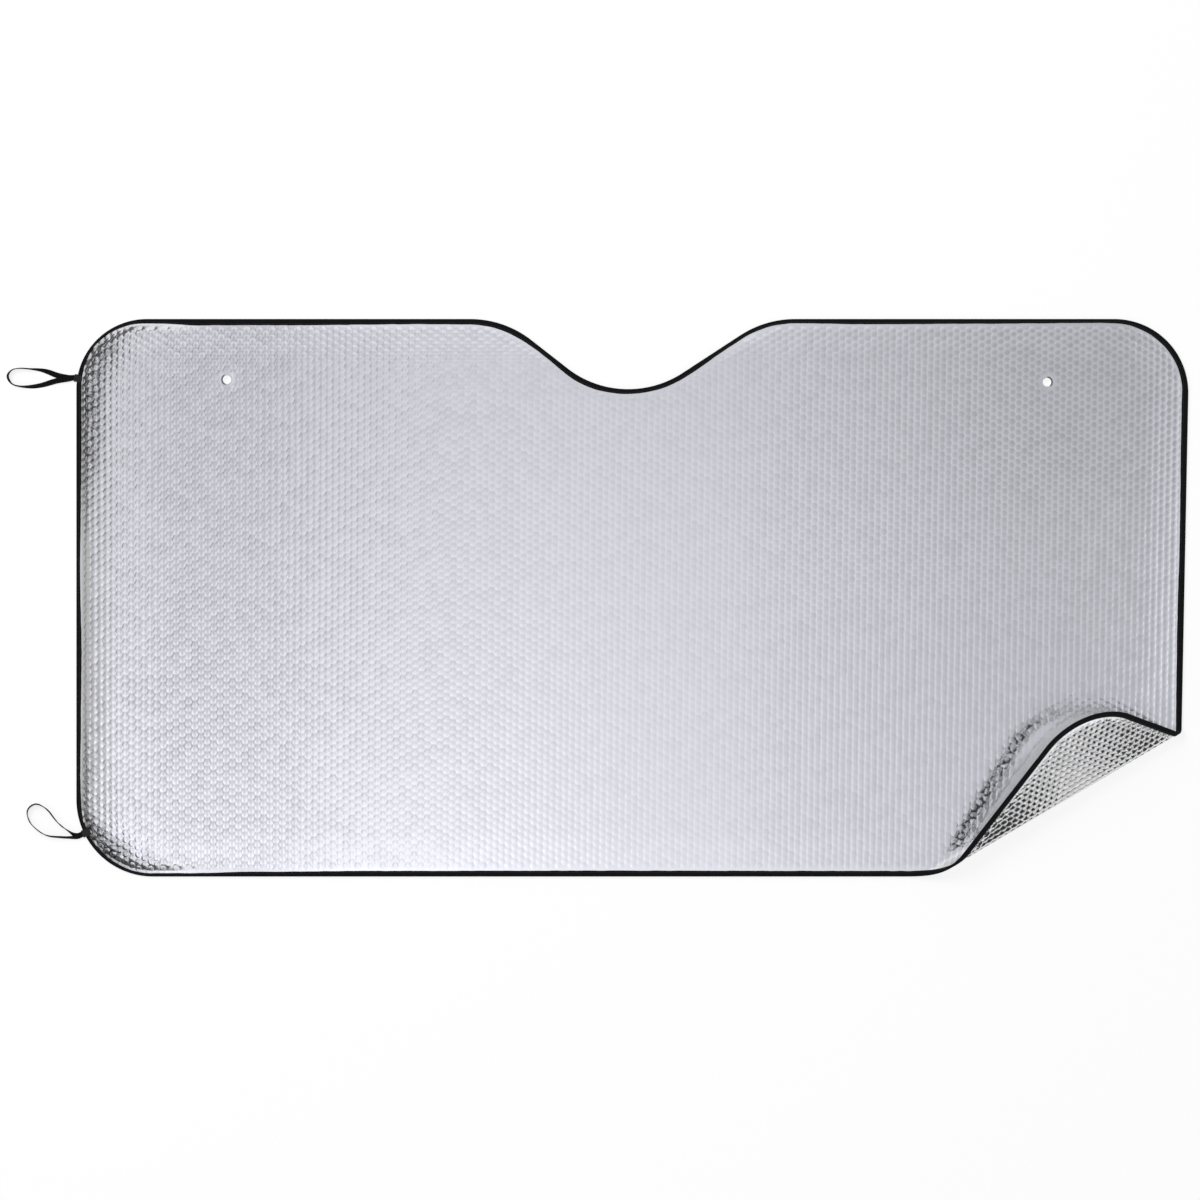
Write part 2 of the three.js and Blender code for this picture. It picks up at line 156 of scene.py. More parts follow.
def draw_outline():
    """Straight and round stretches, anticlockwise from the left side's lower end."""
    steepest = max(NOTCH_LEFT, NOTCH_RIGHT)
    bend = min(NOTCH_RADIUS, NOTCH_DEPTH / 2 / (1 - math.cos(steepest)))

    def flank(slope):
        return (NOTCH_DEPTH - 2 * bend * (1 - math.cos(slope))) / math.sin(slope)

    def mouth(slope):
        return 2 * bend * math.sin(slope) + flank(slope) * math.cos(slope)

    quarter = math.pi / 2
    half = SHEET_WIDTH / 2
    moves = [
        (BOTTOM_LEFT * quarter, quarter),
        (SHEET_WIDTH - BOTTOM_LEFT - BOTTOM_RIGHT, 0),
        (BOTTOM_RIGHT * quarter, quarter),
        (SHEET_HEIGHT - BOTTOM_RIGHT - TOP_RIGHT, 0),
        (TOP_RIGHT * quarter, quarter),
        (half - TOP_RIGHT - NOTCH_SHIFT - mouth(NOTCH_RIGHT), 0),
        (bend * NOTCH_RIGHT, NOTCH_RIGHT),
        (flank(NOTCH_RIGHT), 0),
        (bend * (NOTCH_RIGHT + NOTCH_LEFT), -NOTCH_RIGHT - NOTCH_LEFT),
        (flank(NOTCH_LEFT), 0),
        (bend * NOTCH_LEFT, NOTCH_LEFT),
        (half - TOP_LEFT + NOTCH_SHIFT - mouth(NOTCH_LEFT), 0),
        (TOP_LEFT * quarter, quarter),
        (SHEET_HEIGHT - TOP_LEFT - BOTTOM_LEFT, 0),
    ]
    runs = []
    place = np.array([-half, BOTTOM_LEFT - SHEET_HEIGHT / 2])
    heading = -quarter
    for length, sweep in moves:
        runs.append((place, heading, length, sweep))
        place = run_at(runs[-1], 1.0)[0]
        heading += sweep
    return runs


RUNS = draw_outline()
BOTTOM_LEFT_RUN, TOP_LEFT_RUN = RUNS[0], RUNS[-2]
RUN_STARTS = np.cumsum([0] + [run[2] for run in RUNS])
PERIMETER = RUN_STARTS[-1]


def outline_at(distance, inset=0.0):
    """Point and inward direction at a distance round the outline."""
    distance = distance % PERIMETER
    i = min(int(np.searchsorted(RUN_STARTS, distance, side="right")) - 1, len(RUNS) - 1)
    return run_at(RUNS[i], (distance - RUN_STARTS[i]) / RUNS[i][2], inset)


# Lean and curl

def lean(flat):
    """The sheet is drawn with square sides, and its right-hand side then leans."""
    share = flat[..., 0] / SHEET_WIDTH + 0.5
    shift = share * (TOP_WIDTH - BOTTOM_WIDTH) * flat[..., 1] / SHEET_HEIGHT
    return np.stack([flat[..., 0] + shift, flat[..., 1]], axis=-1)


def upright(leant):
    """Takes a leant point back."""
    full = (TOP_WIDTH - BOTTOM_WIDTH) * leant[..., 1] / SHEET_HEIGHT
    x = (leant[..., 0] - 0.5 * full) / (1 + full / SHEET_WIDTH)
    return np.stack([x, leant[..., 1]], axis=-1)


FOLD_ALONG = np.array([math.cos(CURL_DIRECTION), math.sin(CURL_DIRECTION)])
FOLD_ACROSS = np.array([FOLD_ALONG[1], -FOLD_ALONG[0]])
SQUARE_CORNER = lean(np.array([SHEET_WIDTH / 2, -SHEET_HEIGHT / 2]))
FOLD_OFFSET = SQUARE_CORNER @ FOLD_ACROSS - CURL_REACH
FOLD_AT_BOTTOM = (FOLD_OFFSET * FOLD_ALONG[0] - SHEET_HEIGHT / 2) / FOLD_ALONG[1]
FOLD_AT_SIDE = (SQUARE_CORNER[0] - FOLD_OFFSET * FOLD_ACROSS[0]) / FOLD_ALONG[0]


def curl_radius(along):
    share = (along - FOLD_AT_BOTTOM) / (FOLD_AT_SIDE - FOLD_AT_BOTTOM)
    return CURL_RADIUS_BOTTOM + share * (CURL_RADIUS_SIDE - CURL_RADIUS_BOTTOM)


def past_tangent(leant):
    """Length of foil from a place back to the line where the sheet leaves the floor."""
    return leant @ FOLD_ACROSS - FOLD_OFFSET + curl_radius(leant @ FOLD_ALONG) + CROWN


def swell(leant):
    """How far the slack sheet stands off the floor: its rim lies down, and it waves a little."""
    flat = upright(leant)
    half = np.array([SHEET_WIDTH, SHEET_HEIGHT]) / 2
    corner = np.abs(flat) - (half - SWELL_CORNER)
    outside = np.linalg.norm(np.maximum(corner, 0), axis=-1)
    deep = SWELL_CORNER - outside - np.minimum(corner.max(axis=-1), 0)
    rim = smooth_step(deep, 2, SWELL_RIM)
    wave = 0.5
    for axis, (share, run, start) in enumerate(SWELL_WAVES):
        wave = wave + share * np.sin(flat[..., axis] / run + start)
    height = SWELL + (SWELL_LEFT - SWELL) * smooth_step(-flat[..., 0], *SWELL_LEFT_REACH)
    return rim * (height + SWELL_WAVE * wave) * smooth_step(-past_tangent(leant), 0, SWELL_FOLD)


def curl(leant, height):
    """Points of the leant sheet, at heights over the middle of the foil, in their place."""
    along = leant @ FOLD_ALONG
    past = past_tangent(leant)
    radius = np.maximum(curl_radius(along), 1)
    turned = np.clip(past / radius, 0, CURL_ANGLE)
    straight = np.maximum(past - radius * turned, 0)
    across = (radius - height) * np.sin(turned) + straight * np.cos(turned)
    lift = radius - (radius - height) * np.cos(turned) + straight * np.sin(turned)
    tangent = FOLD_OFFSET - radius - CROWN
    place = along[:, None] * FOLD_ALONG + (tangent + across)[:, None] * FOLD_ACROSS
    flat = past <= 0
    place[flat] = leant[flat]
    lift[flat] = height[flat] + swell(leant[flat])
    return np.column_stack([place, CROWN + lift])


def bending(leant, spare):
    """Whether the foil bends at a place, or within a spare length of it."""
    past = past_tangent(leant)
    arc = curl_radius(leant @ FOLD_ALONG) * CURL_ANGLE
    return (past > -spare) & (past < arc + spare)


def stations(wide, fine):
    """Distances round the outline, a wide step apart, or a fine one where the foil bends."""
    found = []
    distance = 0.0
    while distance < PERIMETER - fine / 2:
        found.append(distance)
        here = lean(outline_at(distance)[0])
        distance += fine if bending(here, wide) else wide
    return np.array(found)


# Meshes

def mesh_object(name, points, faces, flat=None):
    """A smooth object at the origin. flat gives each point's place on the uncurled piece."""
    mesh = bpy.data.meshes.new(name)
    mesh.from_pydata((np.asarray(points) * MM).tolist(), [], faces)
    mesh.update()
    if flat is not None:
        loops = np.empty(len(mesh.loops), dtype=np.int32)
        mesh.loops.foreach_get("vertex_index", loops)
        layer = mesh.uv_layers.new(name="flat")
        layer.data.foreach_set("uv", (np.asarray(flat)[loops] * MM).ravel().astype(np.float32))
    mesh.shade_smooth()
    piece = bpy.data.objects.new(name, mesh)
    bpy.context.scene.collection.objects.link(piece)
    return piece


def grid_faces(rows, columns, around=False, across=False):
    """Quads of a grid of points, closed around its rows or across its columns if asked."""
    last_row = rows if around else rows - 1
    last_column = columns if across else columns - 1
    faces = []
    for i in range(last_row):
        j = (i + 1) % rows
        for a in range(last_column):
            b = (a + 1) % columns
            faces.append((i * columns + a, i * columns + b, j * columns + b, j * columns + a))
    return faces


def ring_edges(rings):
    """Neighbours round each ring, where all the rings' points are numbered one after another."""
    edges = []
    start = 0
    for ring in rings:
        count = len(ring)
        edges += [(start + i, start + (i + 1) % count) for i in range(count)]
        start += count
    return edges


def add_attribute(piece, name, values):
    """A number for each point of a piece, or a vector where values has three columns."""
    kind, key = ("FLOAT", "value") if values.ndim == 1 else ("FLOAT_VECTOR", "vector")
    layer = piece.data.attributes.new(name, kind, "POINT")
    layer.data.foreach_set(key, values.ravel().astype(np.float32))


# Nodes

class Tree:
    """Short calls to add and join nodes, for geometry and for materials."""

    def __init__(self, tree):
        self.tree = tree

    def add(self, kind, inputs=(), **settings):
        node = self.tree.nodes.new(kind)
        for key, value in settings.items():
            setattr(node, key, value)
        for key, value in dict(inputs).items():
            self.feed(node.inputs[key], value)
        return node

    def feed(self, socket, value):
        if isinstance(value, bpy.types.NodeSocket):
            self.tree.links.new(value, socket)
        else:
            socket.default_value = value

    def math(self, operation, a, b=None, c=None):
        given = {i: value for i, value in enumerate((a, b, c)) if value is not None}
        return self.add("ShaderNodeMath", given, operation=operation).outputs[0]

    def ramp(self, value, low, high, to_low=0.0, to_high=1.0, smooth=False):
        kind = "SMOOTHSTEP" if smooth else "LINEAR"
        given = {"Value": value, "From Min": low, "From Max": high,
                 "To Min": to_low, "To Max": to_high}
        return self.add("ShaderNodeMapRange", given, interpolation_type=kind).outputs[0]

    def split(self, vector):
        return self.add("ShaderNodeSeparateXYZ", {0: vector}).outputs

    def join(self, x, y, z=0.0):
        return self.add("ShaderNodeCombineXYZ", {0: x, 1: y, 2: z}).outputs[0]

    def times(self, a, b):
        return self.math("MULTIPLY", a, b)

    def plus(self, a, b):
        return self.math("ADD", a, b)

    def minus(self, a, b):
        return self.math("SUBTRACT", a, b)

    def over(self, a, b):
        return self.math("DIVIDE", a, b)

    def larger(self, a, b):
        return self.math("MAXIMUM", a, b)

    def length(self, a, b):
        return self.math("SQRT", self.plus(self.times(a, a), self.times(b, b)))

    def mix(self, share, a, b):
        return self.add("ShaderNodeMix", {0: share, 2: a, 3: b}).outputs[0]

    def mix_colours(self, share, a, b):
        return self.add("ShaderNodeMix", {0: share, 6: a, 7: b}, data_type="RGBA").outputs[2]

    def noise(self, vector, scale, detail, roughness=0.5):
        return self.add("ShaderNodeTexNoise", {
            "Vector": vector, "Scale": scale, "Detail": detail, "Roughness": roughness}).outputs

    def attribute(self, name):
        return self.add("ShaderNodeAttribute", attribute_name=name).outputs["Fac"]

    def bump(self, height, strength, distance):
        return self.add("ShaderNodeBump", {
            "Height": height, "Strength": strength, "Distance": distance}).outputs[0]


def new_group(name, kind, inputs, outputs):
    """A node group with named sockets, each (name, type, value)."""
    group = bpy.data.node_groups.new(name, kind)
    for way, sockets in (("INPUT", inputs), ("OUTPUT", outputs)):
        for socket_name, socket_type, value in sockets:
            socket = group.interface.new_socket(
                socket_name, in_out=way, socket_type="NodeSocket" + socket_type)
            if value is not None:
                socket.default_value = value
    tree = Tree(group)
    return tree, tree.add("NodeGroupInput").outputs, tree.add("NodeGroupOutput").inputs


def lattice(tree, x, y, pitch, spacing):
    """Offsets from the nearest bubble of staggered columns, its number, and its stagger."""
    column = tree.math("ROUND", tree.over(x, pitch))
    odd = tree.math("ABSOLUTE", tree.math("MODULO", column, 2.0))
    stagger = tree.times(odd, 0.5)
    row = tree.math("ROUND", tree.minus(tree.over(y, spacing), stagger))
    across = tree.minus(x, tree.times(column, pitch))
    along = tree.minus(y, tree.times(tree.plus(row, stagger), spacing))
    return across, along, column, row, stagger


def end_group(tree, geometry, material, out):
    """Ends geometry nodes: instances are made real and get their material."""
    real = tree.add("GeometryNodeRealizeInstances", {0: geometry})
    dressed = tree.add("GeometryNodeSetMaterial", {
        "Geometry": real.outputs[0], "Material": material})
    tree.feed(out, dressed.outputs[0])
    return tree.tree


def bubble_relief():
    """Geometry nodes that raise the bubbles of a flat film."""
    tree, given, out = new_group("bubble_relief", "GeometryNodeTree", [
        ("Film", "Geometry", None),
        ("Column Pitch", "Float", COLUMN_PITCH * MM),
        ("Bubble Spacing", "Float", BUBBLE_SPACING * MM),
        ("Bubble Radius", "Float", BUBBLE_RADIUS * MM),
        ("Crown", "Float", CROWN * MM),
        ("Valley", "Float", VALLEY * MM),
        ("Slackest Bubble", "Float", 0.7),
        ("Seed", "Int", 3),
        ("Material", "Material", None),
    ], [("Film", "Geometry", None)])
    x, y, z = tree.split(tree.add("GeometryNodeInputPosition").outputs[0])
    across, along, column, row, _ = lattice(
        tree, x, y, given["Column Pitch"], given["Bubble Spacing"])
    far = tree.over(tree.length(across, along), given["Bubble Radius"])
    dome = tree.larger(tree.minus(1.0, far), 0.0)
    most_rows = 1000.0
    number = tree.plus(tree.times(column, most_rows), row)
    fullness = tree.add("FunctionNodeRandomValue", {
        2: given["Slackest Bubble"], 3: 1.0, "Seed": given["Seed"],
        "ID": tree.add("FunctionNodeFloatToInt", {0: number}).outputs[0]}, data_type="FLOAT")
    rise = tree.minus(given["Crown"], given["Valley"])
    rise = tree.times(rise, tree.times(dome, fullness.outputs[1]))
    room = tree.add("GeometryNodeInputNamedAttribute", {"Name": "room"}, data_type="FLOAT")
    free = tree.minus(tree.plus(given["Valley"], rise), z)
    lifted = tree.times(free, room.outputs["Attribute"])
    moved = tree.add("GeometryNodeSetPosition", {
        "Geometry": given["Film"], "Offset": tree.join(0.0, 0.0, lifted)})
    return end_group(tree, moved.outputs[0], given["Material"], out["Film"])


BUBBLE_RELIEF = bubble_relief()


def run_nodes(piece, group, **values):
    """Runs geometry nodes on a piece and keeps the result as its plain mesh."""
    modifier = piece.modifiers.new(group.name, "NODES")
    modifier.node_group = group
    named = {item.name: item.identifier for item in group.interface.items_tree
             if item.item_type == "SOCKET" and item.in_out == "INPUT"}
    for key, value in values.items():
        modifier[named[key.replace("_", " ")]] = value
    graph = bpy.context.evaluated_depsgraph_get()
    mesh = bpy.data.meshes.new_from_object(piece.evaluated_get(graph))
    piece.modifiers.clear()
    piece.data = mesh
    mesh.name = piece.name
    return piece


# Films

EDGE = stations(4, 1.6)
HOLE_SIDES = 40
SPOT_SIDES = 32
SPOT_RINGS = (6.3, 7.4, SPOT_RADIUS)
FIRST_BUBBLE = 9.5      # least distance of a bubble's middle from the outline
DEEP_INSIDE = 99.0      # stands for any distance from the outline that is too large to matter
OUTLINE = lean(np.array([outline_at(d)[0] for d in EDGE]))


def inside_distance(points):
    """Distance of leant points from the outline, below nought outside it."""
    a = OUTLINE
    b = np.roll(OUTLINE, -1, axis=0)
    side = b - a
    batch = 4000
    found = np.empty(len(points))
    for start in range(0, len(points), batch):
        p = points[start:start + batch, None, :]
        share = np.clip(((p - a) * side).sum(-1) / (side * side).sum(-1), 0, 1)
        gap = np.linalg.norm(p - a - share[..., None] * side, axis=-1).min(axis=1)
        above = (a[:, 1] > p[..., 1]) != (b[:, 1] > p[..., 1])
        height = np.where(side[:, 1] == 0, 1, side[:, 1])
        crossing = a[:, 0] + (p[..., 1] - a[:, 1]) / height * side[:, 0]
        inside = (above & (p[..., 0] < crossing)).sum(axis=1) % 2 == 1
        found[start:start + batch] = np.where(inside, gap, -gap)
    return found


def hole_distance(flat):
    return np.min([np.linalg.norm(flat - hole, axis=-1) for hole in HOLES], axis=0)


def bubble_points():
    """Points for the bubbles of the raised film: each one's top, and a ring at its foot."""
    columns = int(SHEET_WIDTH / 2 / COLUMN_PITCH)
    rows = int(SHEET_HEIGHT / 2 / BUBBLE_SPACING) + 1
    centres = np.array([
        (c * COLUMN_PITCH, (r + 0.5 * (c % 2)) * BUBBLE_SPACING)
        for c in range(-columns, columns + 1) for r in range(-rows, rows + 1)])
    deep = inside_distance(lean(centres))
    centres = centres[(deep > FIRST_BUBBLE) & (hole_distance(centres) > SPOT_RADIUS + 0.5)]
    turns = np.radians(np.arange(0, 360, 60))
    ring = BUBBLE_RADIUS * np.column_stack([np.cos(turns), np.sin(turns)])
    feet = (centres[:, None, :] + ring).reshape(-1, 2)
    return np.vstack([centres, feet[hole_distance(feet) > SPOT_RADIUS + 0.6]])


def boundary():
    """Rings of points along the sheet's edge and, the other way round, along its holes."""
    edge = np.array([outline_at(d, FOIL_INSET)[0] for d in EDGE])
    return [edge] + [hole + round_points(HOLE_SIDES, HOLE_RADIUS) * [1, -1] for hole in HOLES]


def triangles(points, rings):
    """Fills the sheet between its rings, which come first in points. All faces look up."""
    leant = lean(points)
    filled = delaunay_2d_cdt([Vector(p) for p in leant], ring_edges(rings), [], 1, 1e-6)
    faces = np.array(filled[2])
    assert len(filled[0]) == len(points)
    middles = points[faces].mean(axis=1)
    faces = faces[hole_distance(middles) > HOLE_RADIUS]
    a, b, c = (leant[faces[:, i]] for i in range(3))
    area = (b - a)[:, 0] * (c - a)[:, 1] - (b - a)[:, 1] * (c - a)[:, 0]
    faces[area < 0] = faces[area < 0][:, ::-1]
    return faces


def inner_points():
    """Sparse points for the hidden side of a film, in rows along the curl where it bends."""
    step = 28
    half_width, half_height = 640, 320
    x, y = np.meshgrid(np.arange(-half_width, half_width + 1, step),
                       np.arange(-half_height, half_height + 1, step))
    sparse = np.column_stack([x.ravel(), y.ravel()])
    leant = lean(sparse)
    sparse = sparse[(inside_distance(leant) > step / 3) & ~bending(leant, step / 3)
                    & (hole_distance(sparse) > step / 2)]
    bands, spacing = 12, 9
    along = np.arange(FOLD_AT_BOTTOM - 60, FOLD_AT_SIDE + 40, spacing)
    radius = curl_radius(along)
    rows = []
    for band in range(bands + 1):
        past = radius * CURL_ANGLE * band / bands
        across = FOLD_OFFSET - radius - CROWN + past
        rows.append(along[:, None] * FOLD_ALONG + across[:, None] * FOLD_ACROSS)
    bent = np.vstack(rows)
    return np.vstack([sparse, upright(bent[inside_distance(bent) > 5])])


# Beside the folded corner the foil is drawn taut, and past that it is pinched: distance round
# the edge, middle of the pinched band from the corner's edge in plan, and how strong it is.
PINCHED = [
    (1080, 5, 0.0), (1094, 7.5, 0.9), (1136, 12, 1.0), (1211, 18, 1.0), (1256, 22, 0.9),
    (1278, 20.5, 0.7), (1308, 15, 0.4), (1345, 10, 0.0),
]

# The same along the left-hand side: distance round the edge from the lower left corner, how
# strongly the foil is pinched, how much shade is painted in its creases, how far in, and how
# plainly its rim is pressed.
LEFT_RIM = [
    (-625, 0.0, 0.0, 12, 0), (-600, 0.25, 0.1, 16, 0), (-570, 0.6, 0.18, 24, 0),
    (-540, 1.3, 0.28, 31, 0), (-479, 1.7, 0.35, 32, 0), (-440, 1.5, 0.35, 30, 0),
    (-400, 1.25, 0.32, 27, 0), (-365, 0.9, 0.28, 23, 0), (-330, 0.4, 0.18, 22, 0.2),
    (-295, 0.0, 0.13, 25, 1), (-200, 0.0, 0.13, 27, 1), (-95, 0.0, 0.15, 32, 1),
    (-70, 0.2, 0.18, 32, 0.3), (-40, 0.4, 0.26, 27, 0), (-10, 0.6, 0.33, 20, 0),
    (20, 0.8, 0.42, 21, 0), (40, 1.1, 0.5, 24, 0), (85, 1.1, 0.46, 27, 0),
    (105, 0.9, 0.32, 27, 0), (125, 0.6, 0.17, 24, 0), (150, 0.25, 0.03, 22, 0),
    (175, 0.0, 0.0, 22, 0),
]
RIM_REACH = 48          # how far in the marks of the left-hand side may reach
EDGE_STEP = 3           # between the places on the edge among which the nearest is found


def stand_apart(flat):
    """How far the bubbles of a column stand apart again, to the right and up the sheet."""
    x, y = flat[:, 0], flat[:, 1]
    corner = smooth_step(y, 0, 190) * smooth_step(x, 240, 480)
    return np.maximum(corner, 0.4 * smooth_step(x, 60, 200) * smooth_step(y, -120, 60))


def nearest_on_edge(leant, first, last, curled=False):
    """The distance round the edge, between two, that is nearest to each point, and how near."""
    distances = np.arange(first, last, EDGE_STEP)
    edge = lean(np.array([outline_at(d)[0] for d in distances]))
    if curled:
        edge = curl(edge, np.zeros(len(edge)))[:, :2]
    away = np.linalg.norm(leant[:, None, :] - edge, axis=-1)
    return distances[away.argmin(axis=1)], away.min(axis=1)


def beside_left(leant, deep):
    """How pinched the film is by the left side, how much shade is painted in its creases, and how
    plainly it is pressed.
    """
    places, strengths, rim_crease_shade, widths, plainness = np.array(LEFT_RIM).T
    near = np.where((deep < RIM_REACH) & (leant[:, 0] < -430))[0]
    nearest, _ = nearest_on_edge(leant[near], places[0], places[-1])
    width = np.interp(nearest, places, widths)
    inner = 1 - smooth_step(deep[near], width - 12, width + 9)
    ironed = 1 - smooth_step(deep[near], IRONED_RIM - 2, IRONED_RIM + 3)
    found = np.zeros((3, len(leant)))
    found[:, near] = [
        np.interp(nearest, places, strengths) * inner,
        np.interp(nearest, places, rim_crease_shade) * inner,
        np.interp(nearest, places, plainness) * ironed,
    ]
    return found


def beside_fold(leant):
    """How taut and how pinched the front film is, and its gentle rise towards the corner."""
    places, middles, strengths = np.array(PINCHED).T
    past = past_tangent(leant)
    near = np.where((past < 5) & (past > -260) & (leant[:, 0] > 300))[0]
    nearest, away = nearest_on_edge(leant[near], places[0], places[-1], curled=True)
    middle = np.interp(nearest, places, middles)
    strength = np.interp(nearest, places, strengths)
    full = np.minimum(strength * 2, 1)
    found = np.zeros((3, len(leant)))
    found[:, near] = [
        full * (1 - smooth_step(away, middle - 8, middle - 3)),
        strength * np.exp(-((away - middle) / PINCH_WIDTH) ** 2),
        full * TAUT_SLOPE * np.maximum(middle + 4 - away, 0),
    ]
    return found


def beside_holes(flat):
    """Shade painted at one side of each hole's rim on the front film, and the lip that the film
    stands up in round it.
    """
    curled = np.zeros(len(flat))
    lip = np.zeros(len(flat))
    for hole, side in zip(HOLES, HOLE_SHADE_SIDES):
        away = flat - hole
        far = np.linalg.norm(away, axis=1)
        turned = np.arctan2(away[:, 1], away[:, 0]) - math.radians(side)
        # Painted shade: a dark crescent on one side of the rim
        curled += (1 - smooth_step(far, *RIM_SHADE_RADII)) * smooth_step(np.cos(turned), 0.1, 0.7)
        lip += LIP_HEIGHT * np.exp(-((far - LIP_RADIUS) / LIP_WIDTH) ** 2)
    return curled, lip


def bubble_heights(points, base, faces, room):
    """Heights of a film's points once its bubbles are raised, as far as they have room."""
    sheet = mesh_object("film_sheet", np.column_stack([points, base]), faces.tolist())
    add_attribute(sheet, "room", room)
    run_nodes(sheet, BUBBLE_RELIEF, Seed=3)
    lifted = np.empty(len(points) * 3)
    sheet.data.vertices.foreach_get("co", lifted)
    bpy.data.objects.remove(sheet)
    return lifted.reshape(-1, 3)[:, 2] / MM


def raised_points(rings):
    """Points of a film's raised side: its rings, the margin by the tape, the spots, the bubbles."""
    margin = np.array([outline_at(d, TAPE_WIDTH + 0.4)[0] for d in EDGE])
    spots = [hole + round_points(SPOT_SIDES, radius) for hole in HOLES for radius in SPOT_RINGS]
    return np.vstack(rings + [margin] + spots + [bubble_points()])


def bubble_room(raised):
    """How deep inside the sheet points lie, how far it is bubbled there, and how much room the
    bubbles have on the front film and on the back film."""
    deep = np.full(len(raised), DEEP_INSIDE)
    near = (np.abs(raised[:, 0]) > 600) | (np.abs(raised[:, 1]) > 200)
    deep[near] = inside_distance(lean(raised[near]))
    bubbled = smooth_step(deep, 6.4, 12.5)
    bubbled = bubbled * smooth_step(hole_distance(raised), SPOT_RADIUS - 0.5, 12.5)
    back = bubbled * (1 - 0.5 * read_off(raised[:, 0], RIDGES))
    front = back * (1 - 0.8 * beside_fold(lean(raised))[0])
    front = front * (1 - 0.6 * beside_left(lean(raised), deep)[2])
    return deep, bubbled, front, back


def film_marks(flat, deep, bubbled, room):
    """What the foil's material reads at each point, for the front film and for the back film."""
    x, y = flat.T
    taut, pinched, rise = beside_fold(lean(flat))
    cornered, dark, plain = beside_left(lean(flat), deep)
    curled, lip = beside_holes(flat)
    domed = room * (1 - 0.9 * taut) * (1 - 0.6 * plain) * read_off(x, FULLNESS)
    # Strength of the shade painted into the creases, by the fold, by the left side and across the
    # sheet
    crease_shading = pinched + dark + read_off(x, CREASE_SHADE_LEVELS)
    reached = np.maximum(np.minimum(room * 3, 1), np.minimum(dark * 2, 1))
    # Shade painted along the bottom edge by the lower left corner
    corner_rim_shade = smooth_step(-y, 270, 295) * cornered * 0.62 * (1 - smooth_step(deep, 5, 11))
    fall = LEFT_FALL * smooth_step(-x, 480, 560) * smooth_step(deep, 4, IRONED_RIM)
    front = {
        "domed": domed + PINCH_DOME * pinched + CORNER_DOME * cornered,
        "crease_shading": crease_shading * reached,
        "taut": taut,
        "ridged": read_off(x, RIDGES) * (1 - np.clip(pinched + cornered, 0, 1)),
        "apart": stand_apart(flat),
        # Painted shade at one side of each hole's rim and along the bottom edge by the lower left
        # corner
        "curled": curled + corner_rim_shade,
        "rise": (rise + fall + lip) * MM,
    }
    none = np.zeros(len(flat))
    back = front | {"domed": bubbled, "crease_shading": none, "ridged": none, "curled": none,
                    "rise": EDGE_FALL * smooth_step(deep, 5, 13) * MM}
    return front, back


def make_films():
    """The front and the back film. Each is closed by a plain side at the middle of the foil."""
    rings = boundary()
    raised = raised_points(rings)
    raised_faces = triangles(raised, rings)
    deep, bubbled, *rooms = bubble_room(raised)
    base = np.where(hole_distance(raised) < SPOT_RADIUS + 1, SPOT_HEIGHT, PRESSED)
    heights = [bubble_heights(raised, base, raised_faces, room) for room in rooms]

    hidden = np.vstack(rings + [inner_points()])
    hidden_faces = triangles(hidden, rings) + len(raised)
    wall = [(i, i + len(raised), j + len(raised), j) for i, j in ring_edges(rings)]
    faces = raised_faces.tolist() + hidden_faces[:, ::-1].tolist() + wall
    flat = np.vstack([raised, hidden])

    def whole(share, beyond=0.0):
        return np.concatenate([share, np.full(len(hidden), beyond)])

    marks = film_marks(flat, whole(deep, DEEP_INSIDE), whole(bubbled), whole(rooms[0]))
    films = []
    for name, side, lifted, mark in zip(("front_film", "back_film"), (1, -1), heights, marks):
        turned = faces if side > 0 else [face[::-1] for face in faces]
        film = mesh_object(name, curl(lean(flat), side * whole(lifted, FILM_GAP)), turned, flat)
        film.data.set_sharp_from_angle(angle=math.radians(50))
        for key, values in mark.items():
            add_attribute(film, key, values)
        films.append(film)
    return films


# Tape

# How wide the tape shows on the front, by the distance round the edge from the lower left
# corner. It was sewn on unevenly, and draws in at the left-hand corners.
TAPE_SHOWS = [
    (0, 5.2), (53, 4.1), (88, 4.3), (124, 3.6), (180, 4.0), (265, 5.7), (400, 6.6), (650, 6.9),
    (1000, 6.6), (1450, 6.6), (1600, 7.5), (1710, 6.8), (1840, 7.5), (1945, 6.6), (2040, 4.6),
    (2160, 5.5), (2300, 6.2), (2370, 5.2), (2470, 4.6), (2520, 6.0), (2590, 5.6), (2650, 6.6),
    (2710, 5.4), (2750, 6.9), (2860, 6.0), (3010, 7.3), (3120, 7.3), (3165, 5.4), (3244, 3.3),
    (3300, 5.4), (3364, 5.8), (3440, 5.1), (3515, 4.2), (3620, 6.0), (3700, 5.2), (3760, 4.4),
]
TAPE_STEPS = stations(3, 1.2)


def edge_noise(spacing):
    """Gentle noise from -1 to 1 at each of the tape's steps, with knots a spacing apart."""
    count = int(PERIMETER / spacing)
    knots = rng.uniform(-1, 1, count)
    place = TAPE_STEPS / PERIMETER * count
    low = np.floor(place).astype(int)
    share = eased(place - low)
    return knots[low % count] * (1 - share) + knots[(low + 1) % count] * share


def tape_front_width(distances):
    places, widths = np.array(TAPE_SHOWS).T
    places = np.append(places, PERIMETER)
    widths = np.append(widths, widths[0])
    i = np.clip(np.searchsorted(places, distances, side="right") - 1, 0, len(places) - 2)
    share = eased((distances - places[i]) / (places[i + 1] - places[i]))
    return widths[i] * (1 - share) + widths[i + 1] * share


TAPE_FRONT = tape_front_width(TAPE_STEPS) + 0.18 * edge_noise(9)
SEAM_INSET = 1.7        # of the stitches from the tape's free edge
SEAM_DIP = 0.22         # that they pull into it
DIP_REACH = 0.45        # to each side
DIP_BRIM = 0.04
EDGE_ROUND = 0.16       # of the tape's free edge
LEAST_INSET = 1.55      # where the flat of the tape starts beside its fold


